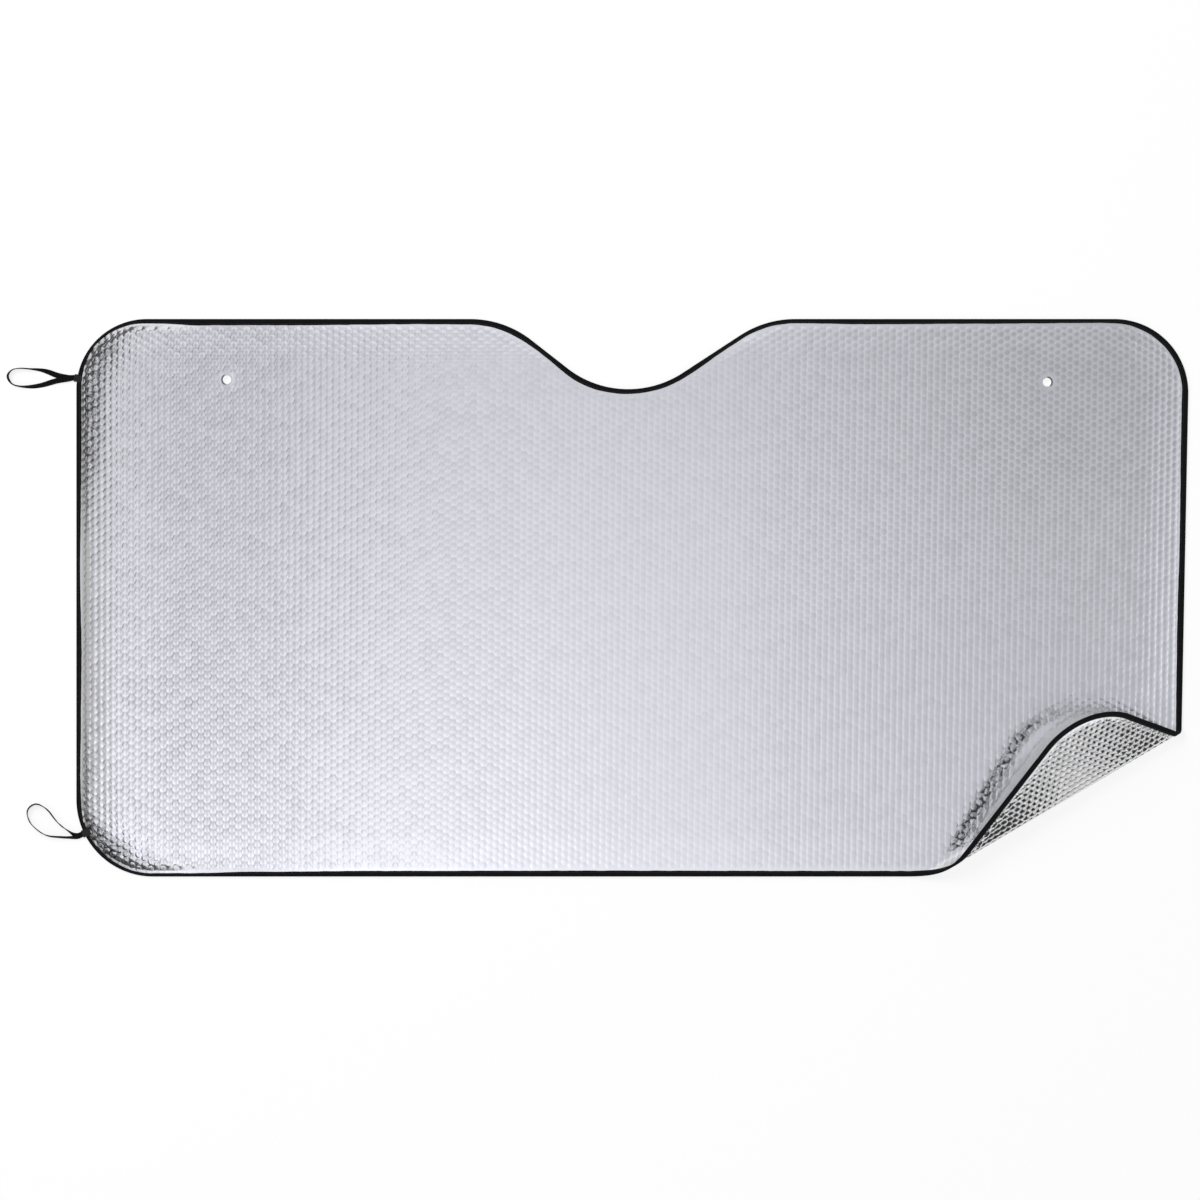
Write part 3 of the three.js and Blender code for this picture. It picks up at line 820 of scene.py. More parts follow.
def tape_section(front, back):
    """Inset and height of the tape's section, from its free edge in front round to the back."""
    def face(width):
        seam = width - SEAM_INSET
        return [
            (width, TAPE_OUTSIDE - EDGE_ROUND),
            (width - EDGE_ROUND, TAPE_OUTSIDE - 0.03),
            (width - 0.5, TAPE_OUTSIDE),
            (seam + DIP_REACH, TAPE_OUTSIDE - DIP_BRIM),
            (seam, TAPE_OUTSIDE - SEAM_DIP),
            (seam - DIP_REACH, TAPE_OUTSIDE - DIP_BRIM),
            (max(seam - 1.3, LEAST_INSET), TAPE_OUTSIDE),
        ]
    turns = np.radians(np.linspace(90, 270, 9))
    bend = [(TAPE_OUTSIDE * (1 + math.cos(t)), TAPE_OUTSIDE * math.sin(t)) for t in turns]
    under = [(inset, -height) for inset, height in reversed(face(back))]
    lining = [(back, -TAPE_INSIDE), (TAPE_OUTSIDE, -TAPE_INSIDE), (TAPE_THICKNESS, 0),
              (TAPE_OUTSIDE, TAPE_INSIDE), (front, TAPE_INSIDE)]
    return np.array(face(front) + bend + under + lining)


def make_tape():
    points, heights, flat = [], [], []
    bulge = 0.12 * edge_noise(25)
    for i, distance in enumerate(TAPE_STEPS):
        section = tape_section(TAPE_FRONT[i], TAPE_WIDTH)
        place, inward = outline_at(distance)
        points.append(lean(place + section[:, :1] * inward))
        outside = np.abs(section[:, 1]) > TAPE_INSIDE + 0.2
        heights.append(section[:, 1] + np.sign(section[:, 1]) * outside * bulge[i] * 0.5)
        steps = np.linalg.norm(np.diff(section, axis=0), axis=1)
        across = np.concatenate([[0], np.cumsum(steps)])
        flat.append(np.column_stack([np.full(len(section), distance), across]))
    count = len(flat[0])
    placed = curl(np.vstack(points), np.concatenate(heights))
    faces = grid_faces(len(TAPE_STEPS), count, around=True, across=True)
    tape = mesh_object("binding_tape", placed, faces, np.vstack(flat))
    tape.data.set_sharp_from_angle(angle=math.radians(60))
    return tape


# Stitches

def stitch_row():
    """Geometry nodes that lay one thread stitch at each point, along and standing off it."""
    tree, given, out = new_group("stitch_row", "GeometryNodeTree", [
        ("Points", "Geometry", None),
        ("Stitch Length", "Float", 0.003),
        ("Thread Radius", "Float", 0.0002),
        ("Arch", "Float", 0.00022),
        ("Material", "Material", None),
    ], [("Stitches", "Geometry", None)])
    half = tree.times(given["Stitch Length"], 0.5)
    back = tree.times(half, -1.0)
    sunk = tree.times(given["Arch"], -0.6)
    arch = tree.times(given["Arch"], 2.0)
    line = tree.add("GeometryNodeCurveQuadraticBezier", {
        "Resolution": 4, "Start": tree.join(back, 0.0, sunk),
        "Middle": tree.join(0.0, 0.0, arch), "End": tree.join(half, 0.0, sunk)})
    ring = tree.add("GeometryNodeCurvePrimitiveCircle", {
        "Resolution": 5, "Radius": given["Thread Radius"]})
    thread = tree.add("GeometryNodeCurveToMesh", {
        "Curve": line.outputs[0], "Profile Curve": ring.outputs[0], "Fill Caps": True})
    smooth = tree.add("GeometryNodeSetShadeSmooth", {0: thread.outputs[0]})
    along = tree.add("GeometryNodeInputNamedAttribute", {"Name": "along"},
                     data_type="FLOAT_VECTOR")
    off = tree.add("GeometryNodeInputNamedAttribute", {"Name": "off"},
                   data_type="FLOAT_VECTOR")
    first = tree.add("FunctionNodeAlignRotationToVector", {
        "Vector": along.outputs["Attribute"]}, axis="X")
    second = tree.add("FunctionNodeAlignRotationToVector", {
        "Rotation": first.outputs[0], "Vector": off.outputs["Attribute"]},
        axis="Z", pivot_axis="X")
    laid = tree.add("GeometryNodeInstanceOnPoints", {
        "Points": given["Points"], "Instance": smooth.outputs[0],
        "Rotation": second.outputs[0]})
    return end_group(tree, laid.outputs[0], given["Material"], out["Stitches"])


STITCH_ROW = stitch_row()
STITCH_PITCH = 3.4
STITCH_LENGTH = 2.9
BARTACK_PITCH = 0.55
BARTACK_JITTER = 0.35


def lay_stitches(name, points, along, off, **values):
    """A row of stitches at points in millimetres."""
    row = mesh_object(name, points, [])
    add_attribute(row, "along", along)
    add_attribute(row, "off", off)
    return run_nodes(row, STITCH_ROW, Material=MATERIALS["thread"], **values)


def seam_stitches():
    """One seam along the tape's free edge, with its stitches on both faces."""
    count = int(PERIMETER / STITCH_PITCH)
    distances = (np.arange(count) + 0.5) * PERIMETER / count
    front = np.interp(distances, TAPE_STEPS, TAPE_FRONT, period=PERIMETER)
    points, along, off = [], [], []
    for widths, side in ((front, 1), (np.full(count, TAPE_WIDTH), -1)):
        height = np.full(count, side * (TAPE_OUTSIDE - SEAM_DIP + 0.12))
        inset = widths - SEAM_INSET

        def at(shift, lift):
            flat = np.array([outline_at(d + shift, w)[0] for d, w in zip(distances, inset)])
            return curl(lean(flat), height + lift)

        here = at(0, 0)
        points.append(here)
        along.append(at(0.5, 0) - at(-0.5, 0))
        off.append((at(0, side * 0.1) - here) * 10)
    return lay_stitches("binding_stitches", np.vstack(points), np.vstack(along),
                        np.vstack(off), Stitch_Length=STITCH_LENGTH * MM)


def bartack(name, run, share, reach):
    """The dense block of stitches that holds a loop's ends to the tape."""
    edge, inward = run_at(run, share)
    side = np.array([inward[1], -inward[0]])
    insets = np.arange(*reach, BARTACK_PITCH)
    places = lean(edge + insets[:, None] * inward)
    jitter = rng.uniform(-BARTACK_JITTER, BARTACK_JITTER, len(insets))
    places = places + jitter[:, None] * side
    over = 2 * ELASTIC_THICKNESS + CLEARANCE * 1.5
    height = np.where(insets < 0.3, CROWN + over / 2 + 0.1, CROWN + TAPE_OUTSIDE + 0.1)
    height[insets > 5] -= 0.4
    points = np.column_stack([places, height])
    along = np.tile([side[0], side[1], 0.06], (len(insets), 1))
    off = np.tile([0.0, 0.0, 1.0], (len(insets), 1))
    return lay_stitches(name, points, along, off, Stitch_Length=0.0088, Thread_Radius=0.00034,
                        Arch=0.0006)


# Elastic loops

# Points of each loop from where it leaves the tape: to the right, up the sheet, lift off the
# floor, and twist in degrees.
UPPER_LOOP = [
    (-10.4, 0.7, 0.4, 0), (-23.2, 3.3, 0, 6), (-33.7, 7.2, 0, 32), (-43, 9.5, 0, 60),
    (-54.7, 10.7, 0, 82), (-66.4, 11.5, 0, 90), (-75.7, 9.7, 0, 102), (-80.8, 3.6, 0, 118),
    (-79.2, -2.8, 0, 114), (-73.9, -7.8, 0, 97), (-64, -9.9, 0, 104), (-52.4, -9.9, 0, 126),
    (-40.7, -8, 0, 142), (-31.4, -5.2, 0.3, 160), (-23.2, -2.9, 0.9, 172), (-11.5, -1, 1.8, 180),
]
LOWER_LOOP = [
    (-7.2, -2.7, 0.1, 20), (-12.3, -1.2, 0, 48), (-17.4, 2.2, 0, 70), (-26.4, 8.7, 0, 88),
    (-33.5, 15.8, 0, 76), (-41.8, 26.5, 0, 74), (-50.2, 32.5, 0, 88), (-57.3, 34, 0, 98),
    (-63.8, 30.1, 0, 104), (-66.3, 24.1, 0, 104), (-64.4, 15.8, 0, 94), (-59.7, 8.7, 0, 98),
    (-50.2, 0.9, 0, 94), (-40.6, -3.2, 0, 104), (-26.4, -4.5, 0, 112), (-18, -4.8, 0.4, 116),
    (-11.5, -4.6, 1.3, 132), (-6.9, -3.4, 2, 160),
]
# Name, the corner that the loop is sewn to, the share of its turn, and how far in from the
# sheet's edge the bartack starts and ends.
LOOPS = [
    ("upper", TOP_LEFT_RUN, 1 - 9 / 90, UPPER_LOOP, (-3, 5.2)),
    ("lower", BOTTOM_LEFT_RUN, 26 / 90, LOWER_LOOP, (-2, 7.8)),
]
ELASTIC_STEPS = 9       # between two points of a loop
ELASTIC_RIBS = 6
RIB_DEPTH = 0.11
ELASTIC_EDGE = 0.25     # width of its round edge


def spline(points, steps):
    """Catmull-Rom through points, with straight-on ends, and its direction."""
    points = np.asarray(points, dtype=float)
    first = 2 * points[0] - points[1]
    last = 2 * points[-1] - points[-2]
    ends = np.vstack([first, points, last])
    count = len(points) - 1
    place = np.linspace(0, count, count * steps + 1)
    i = np.minimum(place.astype(int), count - 1)
    t = (place - i)[:, None]
    p0, p1, p2, p3 = (ends[i + k] for k in range(4))
    at = 0.5 * (2 * p1 + (p2 - p0) * t + (2 * p0 - 5 * p1 + 4 * p2 - p3) * t ** 2
                + (3 * p1 - p0 - 3 * p2 + p3) * t ** 3)
    ahead = 0.5 * ((p2 - p0) + 2 * (2 * p0 - 5 * p1 + 4 * p2 - p3) * t
                   + 3 * (3 * p1 - p0 - 3 * p2 + p3) * t ** 2)
    return at, ahead


def elastic_section():
    """Section of the elastic: ribbed on both faces, with round edges."""
    half = ELASTIC_WIDTH / 2
    thick = ELASTIC_THICKNESS / 2
    count = ELASTIC_RIBS * 4
    across = np.linspace(half - ELASTIC_EDGE, -half + ELASTIC_EDGE, count + 1)
    turns = 2 * math.pi * ELASTIC_RIBS * (across + half - ELASTIC_EDGE)
    wave = thick - RIB_DEPTH * (0.5 + 0.5 * np.cos(turns / (2 * half - 2 * ELASTIC_EDGE)))
    top = np.column_stack([across, wave])
    bottom = np.column_stack([across[::-1], -wave[::-1]])
    edge = 0.22
    return np.vstack([top, [(-half, edge), (-half, -edge)], bottom, [(half, -edge), (half, edge)]])


def make_loop(name, run, share, route):
    edge, inward = run_at(run, share)
    seat = lean(edge)
    outward = -inward
    layer = ELASTIC_THICKNESS + CLEARANCE

    def end_point(distance, side, twist):
        lift = CROWN + side * layer / 2 - ELASTIC_THICKNESS / 2
        return (*(outward * distance), lift, twist)

    stem = CLEARANCE + ELASTIC_WIDTH / 2
    points = [end_point(CLEARANCE, -1, 0), end_point(stem, -1, 0), *route,
              end_point(stem, 1, 180), end_point(CLEARANCE, 1, 180)]
    path, ahead = spline(points, ELASTIC_STEPS)
    twist = np.radians(path[:, 3])
    section = elastic_section()
    reach = np.linalg.norm(np.diff(section, axis=0, append=section[:1]), axis=1)
    around = np.concatenate([[0], np.cumsum(reach)[:-1]])
    run_length = np.concatenate([[0], np.cumsum(
        np.linalg.norm(np.diff(path[:, :3], axis=0), axis=1))])
    rows, flat = [], []
    up = Vector((0, 0, 1))
    for i, (x, y, lift, _) in enumerate(path):
        across, through = abs(math.cos(twist[i])), abs(math.sin(twist[i]))
        z = max(lift, 0) + (ELASTIC_WIDTH * through + ELASTIC_THICKNESS * across) / 2
        forward = Vector((ahead[i, 0], ahead[i, 1], 0)).normalized()
        wide = forward.cross(up) * math.cos(twist[i]) + up * math.sin(twist[i])
        thick = forward.cross(wide)
        centre = np.array([seat[0] + x, seat[1] + y, z])
        rows.append(centre + section[:, :1] * np.array(wide) + section[:, 1:] * np.array(thick))
        flat.append(np.column_stack([np.full(len(section), run_length[i]), around]))
    count = len(section)
    faces = grid_faces(len(rows), count, across=True)
    faces.append(tuple(range(count))[::-1])
    faces.append(tuple(range((len(rows) - 1) * count, len(rows) * count)))
    loop = mesh_object(name, np.vstack(rows), faces, np.vstack(flat))
    loop.data.set_sharp_from_angle(angle=math.radians(70))
    return loop


# Materials

def weave_group():
    """Plain weave from the flat map: its height, and a shade for each thread crossing."""
    tree, given, out = new_group("weave", "ShaderNodeTree", [
        ("Flat", "Vector", None), ("Along", "Float", 0.0005), ("Across", "Float", 0.0005),
        ("Seed", "Float", 0.0),
    ], [("Height", "Float", None), ("Shade", "Float", None)])
    x, y, _ = tree.split(given["Flat"])
    warp = tree.over(x, given["Along"])
    weft = tree.over(y, given["Across"])
    over = tree.times(tree.math("SINE", tree.times(warp, math.pi)),
                      tree.math("SINE", tree.times(weft, math.pi)))
    tree.feed(out["Height"], tree.ramp(over, -1.0, 1.0))
    crossing = tree.join(tree.math("FLOOR", warp), tree.math("FLOOR", weft), given["Seed"])
    speck = tree.add("ShaderNodeTexWhiteNoise", {"Vector": crossing}, noise_dimensions="3D")
    tree.feed(out["Shade"], speck.outputs[0])
    return tree.tree


def bubble_mark_group():
    """The bubbles from the flat map: their height and that of a ridge up the column, masks for
    shade painted in the creases round them and on their flanks, masks for highlights painted on
    the lines between columns and on the net between bubbles, and a tint for each.

    Each place belongs to the nearest bubble, of its own column or of the one beside it."""
    tree, given, out = new_group("bubble_marks", "ShaderNodeTree", [
        ("Flat", "Vector", None), ("Radius", "Float", 0.004), ("Warp", "Float", 0.0012),
    ], [(name, "Float", None) for name in (
        "Height", "Ridge", "Crease Shade", "Flank Shade", "Between Highlight", "Net Highlight", "Tint")])
    pitch, spacing = COLUMN_PITCH * MM, BUBBLE_SPACING * MM
    shift_x, shift_y, swollen = tree.split(tree.noise(given["Flat"], 70.0, 1.0)["Color"])
    x, y, _ = tree.split(given["Flat"])

    def warped(value, shift):
        return tree.math("MULTIPLY_ADD", tree.minus(shift, 0.5), given["Warp"], value)

    x, y = warped(x, shift_x), warped(y, shift_y)
    across, along, column, row, stagger = lattice(tree, x, y, pitch, spacing)
    side = tree.math("SIGN", across)
    aside = tree.math("ABSOLUTE", across)
    other = tree.minus(0.5, stagger)
    other_row = tree.math("ROUND", tree.minus(tree.over(y, spacing), other))
    other_y = tree.times(tree.plus(other_row, other), spacing)
    own = tree.length(across, along)
    beside = tree.length(tree.minus(pitch, aside), tree.minus(y, other_y))
    nearer = tree.math("LESS_THAN", beside, own)

    far = tree.over(tree.math("MINIMUM", own, beside), given["Radius"])
    dome = tree.larger(tree.minus(1.0, tree.times(far, far)), 0.0)
    tree.feed(out["Height"], tree.times(dome, tree.ramp(swollen, 0.3, 0.7, 0.85, 1.12)))
    sideways = tree.over(across, pitch / 2)
    ridge = tree.minus(1.0, tree.times(sideways, sideways))
    tree.feed(out["Ridge"], tree.times(ridge, tree.ramp(swollen, 0.3, 0.7, 0.6, 1.3)))
    # Masks for shade painted in the creases, and for highlights painted on the net and between
    # columns
    tree.feed(out["Crease Shade"], tree.ramp(far, 0.66, 1.0, smooth=True))
    knots = tree.ramp(far, 0.85, 1.2, 0.0, 0.7)
    tree.feed(out["Net Highlight"], tree.plus(tree.ramp(far, 0.62, 1.05, 0.0, 0.75), knots))
    tree.feed(out["Between Highlight"], tree.ramp(aside, 0.0017, 0.0034, smooth=True))

    # Painted shade on each bubble's left flank, and on its right flank the more the lower it lies
    # on the sheet
    left = tree.math("MULTIPLY_ADD", tree.times(nearer, side), pitch, tree.times(across, -1.0))
    centre_y = tree.minus(y, along)
    centre_y = tree.math("MULTIPLY_ADD", nearer, tree.minus(other_y, centre_y), centre_y)
    drop = tree.ramp(tree.minus(centre_y, y), -0.0042, 0.0026, 0.0011, 0.0034)
    flank = tree.ramp(tree.minus(tree.math("ABSOLUTE", left), drop), -0.0005, 0.0011, smooth=True)
    right_flank = tree.ramp(y, 0.02, -0.14, 0.15, 0.9)
    tree.feed(out["Flank Shade"], tree.times(
        flank, tree.larger(right_flank, tree.ramp(left, -0.0005, 0.0005))))
    number = tree.join(
        tree.math("MULTIPLY_ADD", nearer, side, column),
        tree.math("MULTIPLY_ADD", nearer, tree.minus(other_row, row), row))
    tint = tree.add("ShaderNodeTexWhiteNoise", {"Vector": number}, noise_dimensions="3D")
    tree.feed(out["Tint"], tint.outputs[0])
    return tree.tree


def bare_tree(owner):
    """The emptied nodes of a material or of the world."""
    owner.use_nodes = True
    owner.node_tree.nodes.clear()
    return Tree(owner.node_tree)


def new_material(name):
    material = bpy.data.materials.new(name)
    tree = bare_tree(material)
    shader = tree.add("ShaderNodeBsdfPrincipled")
    tree.add("ShaderNodeOutputMaterial", {"Surface": shader.outputs[0]})
    return material, tree, shader


def bubble_shade(tree, marks, flat, ridged, apart):
    """Share of the darker foil: its tone differs at random from bubble to bubble and in patches,
    shade is painted down ridged columns, and highlights are painted between columns and on the net
    between bubbles.
    """
    slack = tree.noise(flat, 14.0, 2.0)[0]
    shade = tree.ramp(marks["Tint"], 0.0, 1.0, 0.2, 0.45)
    shade = tree.plus(shade, tree.ramp(slack, 0.3, 0.7, 0.0, 0.06))
    shade = tree.plus(shade, tree.times(ridged, tree.ramp(apart, 0.4, 1.0, 0.6, 0.85)))
    between = tree.mix(apart, marks["Between Highlight"], marks["Net Highlight"])
    painted_highlight = tree.times(between, tree.ramp(ridged, 0, 1, 0.32, 1.4))
    painted_highlight = tree.times(painted_highlight, tree.ramp(marks["Tint"], 0, 1, 1.35, 0.55))
    return tree.minus(shade, painted_highlight)


def crease_shade(tree, marks, flat, crease_shading):
    """Share of black that paints shade in the creases, in blotches beside them and on the bubbles'
    flanks.
    """
    broken = tree.noise(flat, 170.0, 2.0, 0.6)[0]
    pinched = tree.times(tree.ramp(crease_shading, 0.28, 0.8), tree.ramp(broken, 0.4, 0.56, 0.1, 1.3))
    pinched = tree.times(pinched, tree.ramp(marks["Tint"], 0.0, 0.45, 0.6, 1.1))
    crease = tree.times(marks["Crease Shade"], pinched)
    blotch_shade = tree.times(tree.ramp(crease_shading, 0.3, 0.65), tree.ramp(broken, 0.46, 0.62, 0.1, 0.55))
    shaded = tree.times(tree.ramp(crease_shading, 0.0, 0.27, 0.0, 0.31),
                        tree.ramp(marks["Tint"], 0.0, 1.0, 0.45, 1.3))
    return tree.larger(tree.larger(crease, blotch_shade), tree.times(marks["Flank Shade"], shaded))


def foil_material(name, light, dark, metallic, roughness, radius, dome):
    """Metallised film, a little crinkled, domed over its bubbles."""
    material, tree, shader = new_material(name)
    flat = tree.add("ShaderNodeUVMap", uv_map="flat").outputs[0]
    domed, crease_shading, taut, ridged, apart, curled, rise = (tree.attribute(key) for key in (
        "domed", "crease_shading", "taut", "ridged", "apart", "curled", "rise"))
    warp = tree.ramp(crease_shading, 0.05, 0.8, 0.0012, 0.0055)
    marks = tree.add("ShaderNodeGroup", {"Flat": flat, "Radius": radius, "Warp": warp},
                     node_tree=BUBBLE_MARKS).outputs
    crinkle = tree.noise(flat, 420.0, 3.0, 0.6)[0]

    # The foil's colour: a tone that differs at random, with painted shade and painted highlights
    # mixed in
    shade = bubble_shade(tree, marks, flat, ridged, apart)
    foil = tree.mix_colours(tree.times(shade, domed), light, dark)
    # Black paints shade in the creases and their blotches, on the bubbles' flanks, at one side of
    # each hole's rim and by the lower left corner
    black = tree.larger(crease_shade(tree, marks, flat, crease_shading), curled)
    black = tree.math("MINIMUM", black, 0.95)
    tree.feed(shader.inputs["Base Color"], tree.mix_colours(black, foil, (0.03, 0.03, 0.03, 1)))
    shader.inputs["Metallic"].default_value = metallic
    tree.feed(shader.inputs["Roughness"],
              tree.ramp(crinkle, 0.3, 0.7, roughness - 0.04, roughness + 0.05))

    ridge = tree.times(marks["Ridge"], RIDGE_SHARE)
    together = tree.times(ridged, tree.ramp(apart, 0.0, 1.0, 1.0, 0.25))
    shape = tree.mix(together, marks["Height"], ridge)
    height = tree.times(tree.times(shape, domed), dome)
    fine = tree.times(crinkle, tree.ramp(taut, 0.0, 1.0, 0.00009, 0.00002))
    height = tree.plus(tree.plus(height, fine), rise)
    tree.feed(shader.inputs["Normal"], tree.bump(height, 1.0, 1.0))
    return material


def cloth_material(name, dark, light, along, across, depth, roughness, sheen):
    """Black narrow fabric with its weave from the flat map."""
    material, tree, shader = new_material(name)
    flat = tree.add("ShaderNodeUVMap", uv_map="flat").outputs[0]
    weave = tree.add("ShaderNodeGroup", {"Flat": flat, "Along": along, "Across": across},
                     node_tree=WEAVE).outputs
    lint = tree.noise(flat, 90.0, 3.0)[0]
    share = tree.times(weave["Height"], tree.ramp(weave["Shade"], 0.0, 1.0, 0.5, 1.0))
    share = tree.times(share, tree.ramp(lint, 0.3, 0.7, 0.6, 1.0))
    tree.feed(shader.inputs["Base Color"], tree.mix_colours(share, dark, light))
    tree.feed(shader.inputs["Roughness"],
              tree.ramp(weave["Shade"], 0.0, 1.0, roughness - 0.06, roughness + 0.06))
    shader.inputs["Specular IOR Level"].default_value = 0.1
    shader.inputs["Sheen Weight"].default_value = sheen
    shader.inputs["Sheen Roughness"].default_value = 0.5
    tree.feed(shader.inputs["Normal"], tree.bump(weave["Height"], 0.8, depth))
    return material


def thread_material():
    """Twisted black thread: strands run across it at a slant."""
    material, tree, shader = new_material("thread")
    strand_pitch = 0.00035
    x, y, z = tree.split(tree.add("ShaderNodeTexCoord").outputs["Object"])
    slant = tree.plus(tree.plus(x, y), z)
    strand = tree.math("SINE", tree.times(slant, 2 * math.pi / strand_pitch))
    share = tree.ramp(strand, -1.0, 1.0)
    tree.feed(shader.inputs["Base Color"], tree.mix_colours(
        share, (0.006, 0.006, 0.007, 1), (0.022, 0.022, 0.024, 1)))
    shader.inputs["Roughness"].default_value = 0.55
    tree.feed(shader.inputs["Normal"], tree.bump(share, 0.6, 0.00005))
    return material


WEAVE = weave_group()
BUBBLE_MARKS = bubble_mark_group()
MATERIALS = {
    "front": foil_material(
        "front_foil", light=(0.88, 0.88, 0.89, 1), dark=(0.62, 0.62, 0.63, 1), metallic=0.88,
        roughness=0.2, radius=0.0038, dome=0.0004),
    "back": foil_material(
        "back_foil", light=(0.86, 0.86, 0.865, 1), dark=(0.55, 0.55, 0.555, 1), metallic=0.96,
        roughness=0.15, radius=0.0046, dome=0.0009),
    "tape": cloth_material(
        "woven_tape", dark=(0.002, 0.002, 0.003, 1), light=(0.016, 0.016, 0.017, 1),
        along=0.00042, across=0.00036, depth=0.00012, roughness=0.8, sheen=0.02),
    "elastic": cloth_material(
        "ribbed_elastic", dark=(0.003, 0.003, 0.004, 1), light=(0.012, 0.012, 0.013, 1),
        along=0.0006, across=0.00052, depth=0.0001, roughness=0.82, sheen=0.03),
    "thread": thread_material(),
}


def dress(piece, material, slot, *nodes):
    piece.data.materials.clear()
    piece.data.materials.append(MATERIALS[material])
    if nodes:
        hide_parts(*nodes)
    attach(piece, "root")
    return piece


# Stage

FLOOR_REACH = 6000
FLOOR_LEVEL = -0.4      # just under the sheet
FLOOR_DIFFUSE = 0.3
FLOOR_GLOW = 0.78
WORLD_LIGHT = 0.5
WHITE = (1, 1, 1, 1)

# Light tent, which only reflections show: its left, right, near and far sides
TENT = (-860, 1300, -760, 900)
TENT_HEIGHT = 600
WALL_FOOT = 40
GREY_CARD = [(390, -352), (640, -740), (1280, -740), (1280, -120), (672, -180)]
GREY_CARD_LEVEL = 0.5
DARK_CARDS = [[(436, -383), (532, -327)], [(629, -262), (689, -227)]]
DARK_CARD_FOOT, DARK_CARD_TOP = 1, 120
ROOF_COLOUR = (0.915, 0.92, 1, 1)

# How bright the tent's roof is, by place in metres.
ROOF_ACROSS = [
    (-0.86, 0.88), (-0.76, 1.06), (-0.68, 1.07), (-0.61, 1.06), (-0.56, 0.68), (-0.465, 0.68),
    (-0.42, 1.04), (-0.3, 1.0), (-0.05, 0.935), (0.1, 0.9), (0.3, 0.82), (0.4, 0.74),
    (0.5, 0.67), (0.64, 0.615), (0.76, 0.6), (1.0, 1.05), (1.3, 1.1),
]
ROOF_ALONG = [
    (-0.76, 1.35), (-0.42, 1.28), (-0.307, 1.18), (-0.188, 1.087), (-0.016, 0.943),
    (0.156, 0.855), (0.301, 0.79), (0.42, 0.725), (0.62, 1.05), (0.9, 1.08),
]
# Towards three corners: from and to across, from and to along, and how bright it comes out.
ROOF_CORNERS = [
    ((-0.2, -0.05), (0.05, -0.34), 0.86), ((-0.15, -0.45), (-0.1, -0.4), 1.08),
    ((0.4, 0.55), (0.12, -0.05), 1.07),
]
# Each wall grows brighter upwards: the shares of the tent's height where that starts and ends,
# and how bright the wall is below and above.
WALLS = {
    "near": (0.25, 0.36, 0.02, 0.95),
    "right": (0.25, 0.36, 0.02, 0.95),
    "far": (0.3, 1, 0.9, 1.0),
    "left": (0.12, 0.32, 0.03, 0.55),
}

# In metres: how far the camera stands over the sheet, what it looks at, and how much it sees
CAMERA_DISTANCE = 4.5
VIEW_MIDDLE = (-0.0354, -0.0026)
VIEW_WIDTH = 1.4004
SENSOR_WIDTH = 36


def seen_directly(tree):
    """1 for what the camera, a reflection or glass shows, and 0 for light on the object."""
    path = tree.add("ShaderNodeLightPath").outputs
    seen = tree.larger(path["Is Camera Ray"], path["Is Glossy Ray"])
    return tree.larger(seen, path["Is Transmission Ray"])


def make_floor():
    """Pale floor that shows white and keeps a soft shadow."""
    corners = [(x * FLOOR_REACH, y * FLOOR_REACH, FLOOR_LEVEL)
               for x, y in ((-1, -1), (1, -1), (1, 1), (-1, 1))]
    floor = mesh_object("floor", corners, [(0, 1, 2, 3)])
    material = bpy.data.materials.new("floor")
    tree = bare_tree(material)
    paper = tree.add("ShaderNodeBsdfDiffuse", {"Color": (FLOOR_DIFFUSE,) * 3 + (1,)})
    glow = tree.add("ShaderNodeEmission", {
        "Color": WHITE, "Strength": tree.times(seen_directly(tree), FLOOR_GLOW)})
    both = tree.add("ShaderNodeAddShader", {0: paper.outputs[0], 1: glow.outputs[0]})
    tree.add("ShaderNodeOutputMaterial", {"Surface": both.outputs[0]})
    floor.data.materials.append(material)


def glow_material(name, colour, strength_of):
    """A glow whose strength is worked out by nodes from the panel's own place."""
    material = bpy.data.materials.new(name)
    tree = bare_tree(material)
    place = tree.split(tree.add("ShaderNodeTexCoord").outputs["Object"])
    glow = tree.add("ShaderNodeEmission", {"Color": colour, "Strength": strength_of(tree, *place)})
    tree.add("ShaderNodeOutputMaterial", {"Surface": glow.outputs[0]})
    return material


def add_panel(name, corners, material):
    """Part of the light tent, which only reflections show."""
    panel = mesh_object(name, corners, [tuple(range(len(corners)))])
    panel.data.materials.append(material)
    panel.visible_camera = False
    panel.visible_diffuse = False
    panel.visible_shadow = False
    panel.visible_transmission = False


def level_at(tree, value, stops):
    """A value read off straight lines between stops."""
    places, levels = zip(*stops)
    most = max(levels)
    node = tree.add("ShaderNodeValToRGB", {0: tree.ramp(value, places[0], places[-1])})
    marks = node.color_ramp.elements
    while len(marks) < len(stops):
        marks.new(0.5)
    for mark, (place, level) in zip(marks, stops):
        mark.position = (place - places[0]) / (places[-1] - places[0])
        mark.color = (level / most,) * 3 + (1,)
    return tree.math("MULTIPLY", node.outputs[0], most)


def roof_strength(tree, x, y, z):
    """Graded over the sheet, with brighter strips past its top and its right-hand side."""
    graded = tree.times(level_at(tree, x, ROOF_ACROSS), level_at(tree, y, ROOF_ALONG))
    for across, along, level in ROOF_CORNERS:
        share = tree.times(tree.ramp(x, *across), tree.ramp(y, *along))
        graded = tree.times(graded, tree.ramp(share, 0.0, 1.0, 1.0, level))
    return graded


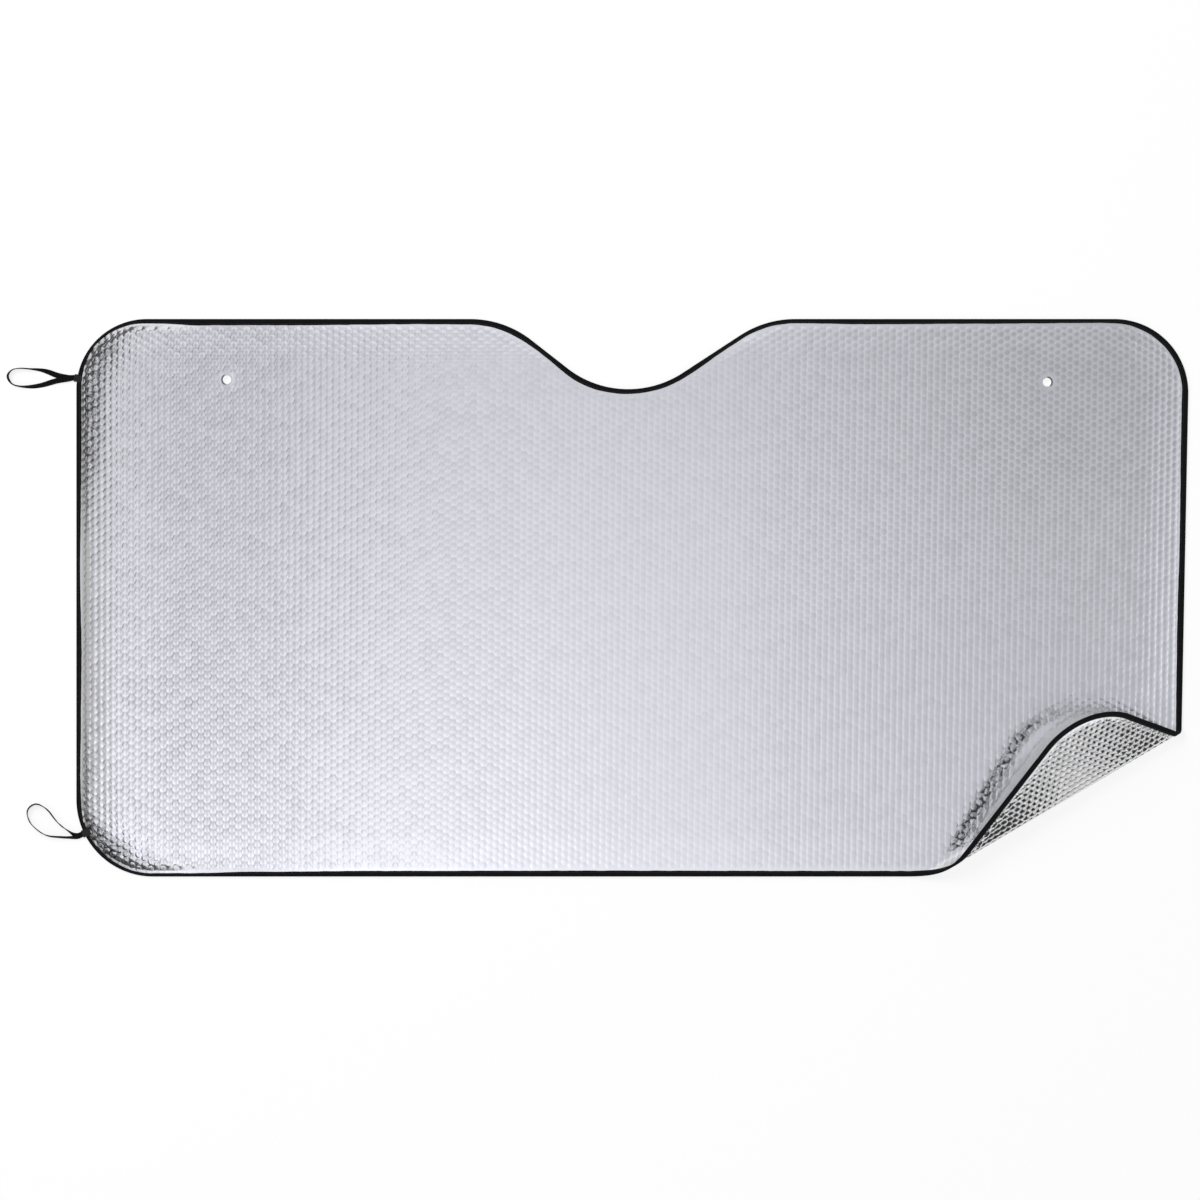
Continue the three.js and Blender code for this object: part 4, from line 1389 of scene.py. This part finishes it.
def wall_ends(tree, name, x, y, z):
    """How bright a wall is along its length. The near and the far wall are dark at their left
    end and the left wall at both its ends, but none of them is on top."""
    upper = tree.ramp(z, 0.38, 0.5)
    topmost = tree.ramp(z, 0.52, 0.6)
    if name == "near":
        return tree.larger(tree.ramp(x, -0.62, -0.48, 0.05, 1.0), topmost)
    if name == "far":
        return tree.larger(tree.ramp(x, -0.7, -0.56, 0.05, 1.0), upper)
    if name == "left":
        return tree.times(tree.larger(tree.ramp(y, -0.48, -0.34, 0.04, 1.0), topmost),
                          tree.larger(tree.ramp(y, 0.1, 0.3, 1.0, 0.06), upper))
    return 1.0


def wall_strength(name, foot, head, low, high):
    """Nodes for one wall. On the near wall a stretch past the curled corner is bright lower."""
    def strength(tree, x, y, z):
        if name == "near":
            stretch = tree.times(tree.ramp(x, 0.78, 0.88), tree.ramp(x, 1.12, 1.04))
            z = tree.math("MULTIPLY_ADD", stretch, 0.08, z)
        top = TENT_HEIGHT * MM
        return tree.times(tree.ramp(z, foot * top, head * top, low, high),
                          wall_ends(tree, name, x, y, z))
    return strength


def make_studio():
    """White surroundings, and a low light tent with a graded roof and dark walls."""
    world = bpy.data.worlds.new("studio")
    tree = bare_tree(world)
    background = tree.add("ShaderNodeBackground", {
        "Color": WHITE, "Strength": tree.larger(seen_directly(tree), WORLD_LIGHT)})
    tree.add("ShaderNodeOutputWorld", {"Surface": background.outputs[0]})
    bpy.context.scene.world = world

    left, right, near, far = TENT
    ring = [(left, near), (right, near), (right, far), (left, far)]
    add_panel("tent_roof", [(x, y, TENT_HEIGHT) for x, y in ring],
              glow_material("tent_roof", ROOF_COLOUR, roof_strength))
    for i, (name, levels) in enumerate(WALLS.items()):
        (x0, y0), (x1, y1) = ring[i], ring[(i + 1) % 4]
        glow = glow_material(name + "_wall", WHITE, wall_strength(name, *levels))
        add_panel(name + "_wall", [(x0, y0, WALL_FOOT), (x1, y1, WALL_FOOT),
                                   (x1, y1, TENT_HEIGHT), (x0, y0, TENT_HEIGHT)], glow)
    grey = glow_material("grey_card", WHITE, lambda tree, x, y, z: 0.66)
    add_panel("grey_card", [(x, y, GREY_CARD_LEVEL) for x, y in GREY_CARD], grey)
    dark = glow_material("dark_card", WHITE, lambda tree, x, y, z: 0.02)
    for i, foot in enumerate(DARK_CARDS):
        add_panel(f"dark_card_{i}", [(x, y, DARK_CARD_FOOT) for x, y in foot]
                  + [(x, y, DARK_CARD_TOP) for x, y in reversed(foot)], dark)


def add_area(name, place, size, power):
    lamp = bpy.data.lights.new(name, "AREA")
    lamp.size = size
    lamp.energy = power
    stand = bpy.data.objects.new(name, lamp)
    stand.location = place
    stand.rotation_euler = (-Vector(place)).to_track_quat("-Z", "Y").to_euler()
    stand.visible_glossy = False
    lamp.cycles.use_multiple_importance_sampling = False
    bpy.context.scene.collection.objects.link(stand)


def make_camera():
    """Looks straight down with a long lens."""
    camera = bpy.data.cameras.new("camera")
    camera.sensor_width = SENSOR_WIDTH
    camera.lens = SENSOR_WIDTH * CAMERA_DISTANCE / VIEW_WIDTH
    camera.clip_end = 50
    stand = bpy.data.objects.new("camera", camera)
    stand.location = (*VIEW_MIDDLE, CAMERA_DISTANCE + 2 * CROWN * MM)
    bpy.context.scene.collection.objects.link(stand)
    bpy.context.scene.camera = stand


make_camera()
make_studio()
add_area("key", place=(-1.6, 1.5, 2.6), size=1.6, power=40)
make_floor()
bpy.context.scene.view_settings.view_transform = "Standard"

front, back = make_films()
dress(front, "front", "silver_foil", "bubble_foil_panel")
dress(back, "back", "silver_foil", "bubble_foil_panel")
tape = dress(make_tape(), "tape", "black_tape", "edge_binding")
stitches = dress(seam_stitches(), "thread", "black_tape")
for name, run, share, route, _ in LOOPS:
    loop = make_loop(f"{name}_loop", run, share, route)
    dress(loop, "elastic", "black_elastic", f"{name}_elastic_loop")
for name, run, share, _, reach in LOOPS:
    dress(bartack(f"{name}_bartack", run, share, reach), "thread", "black_tape")
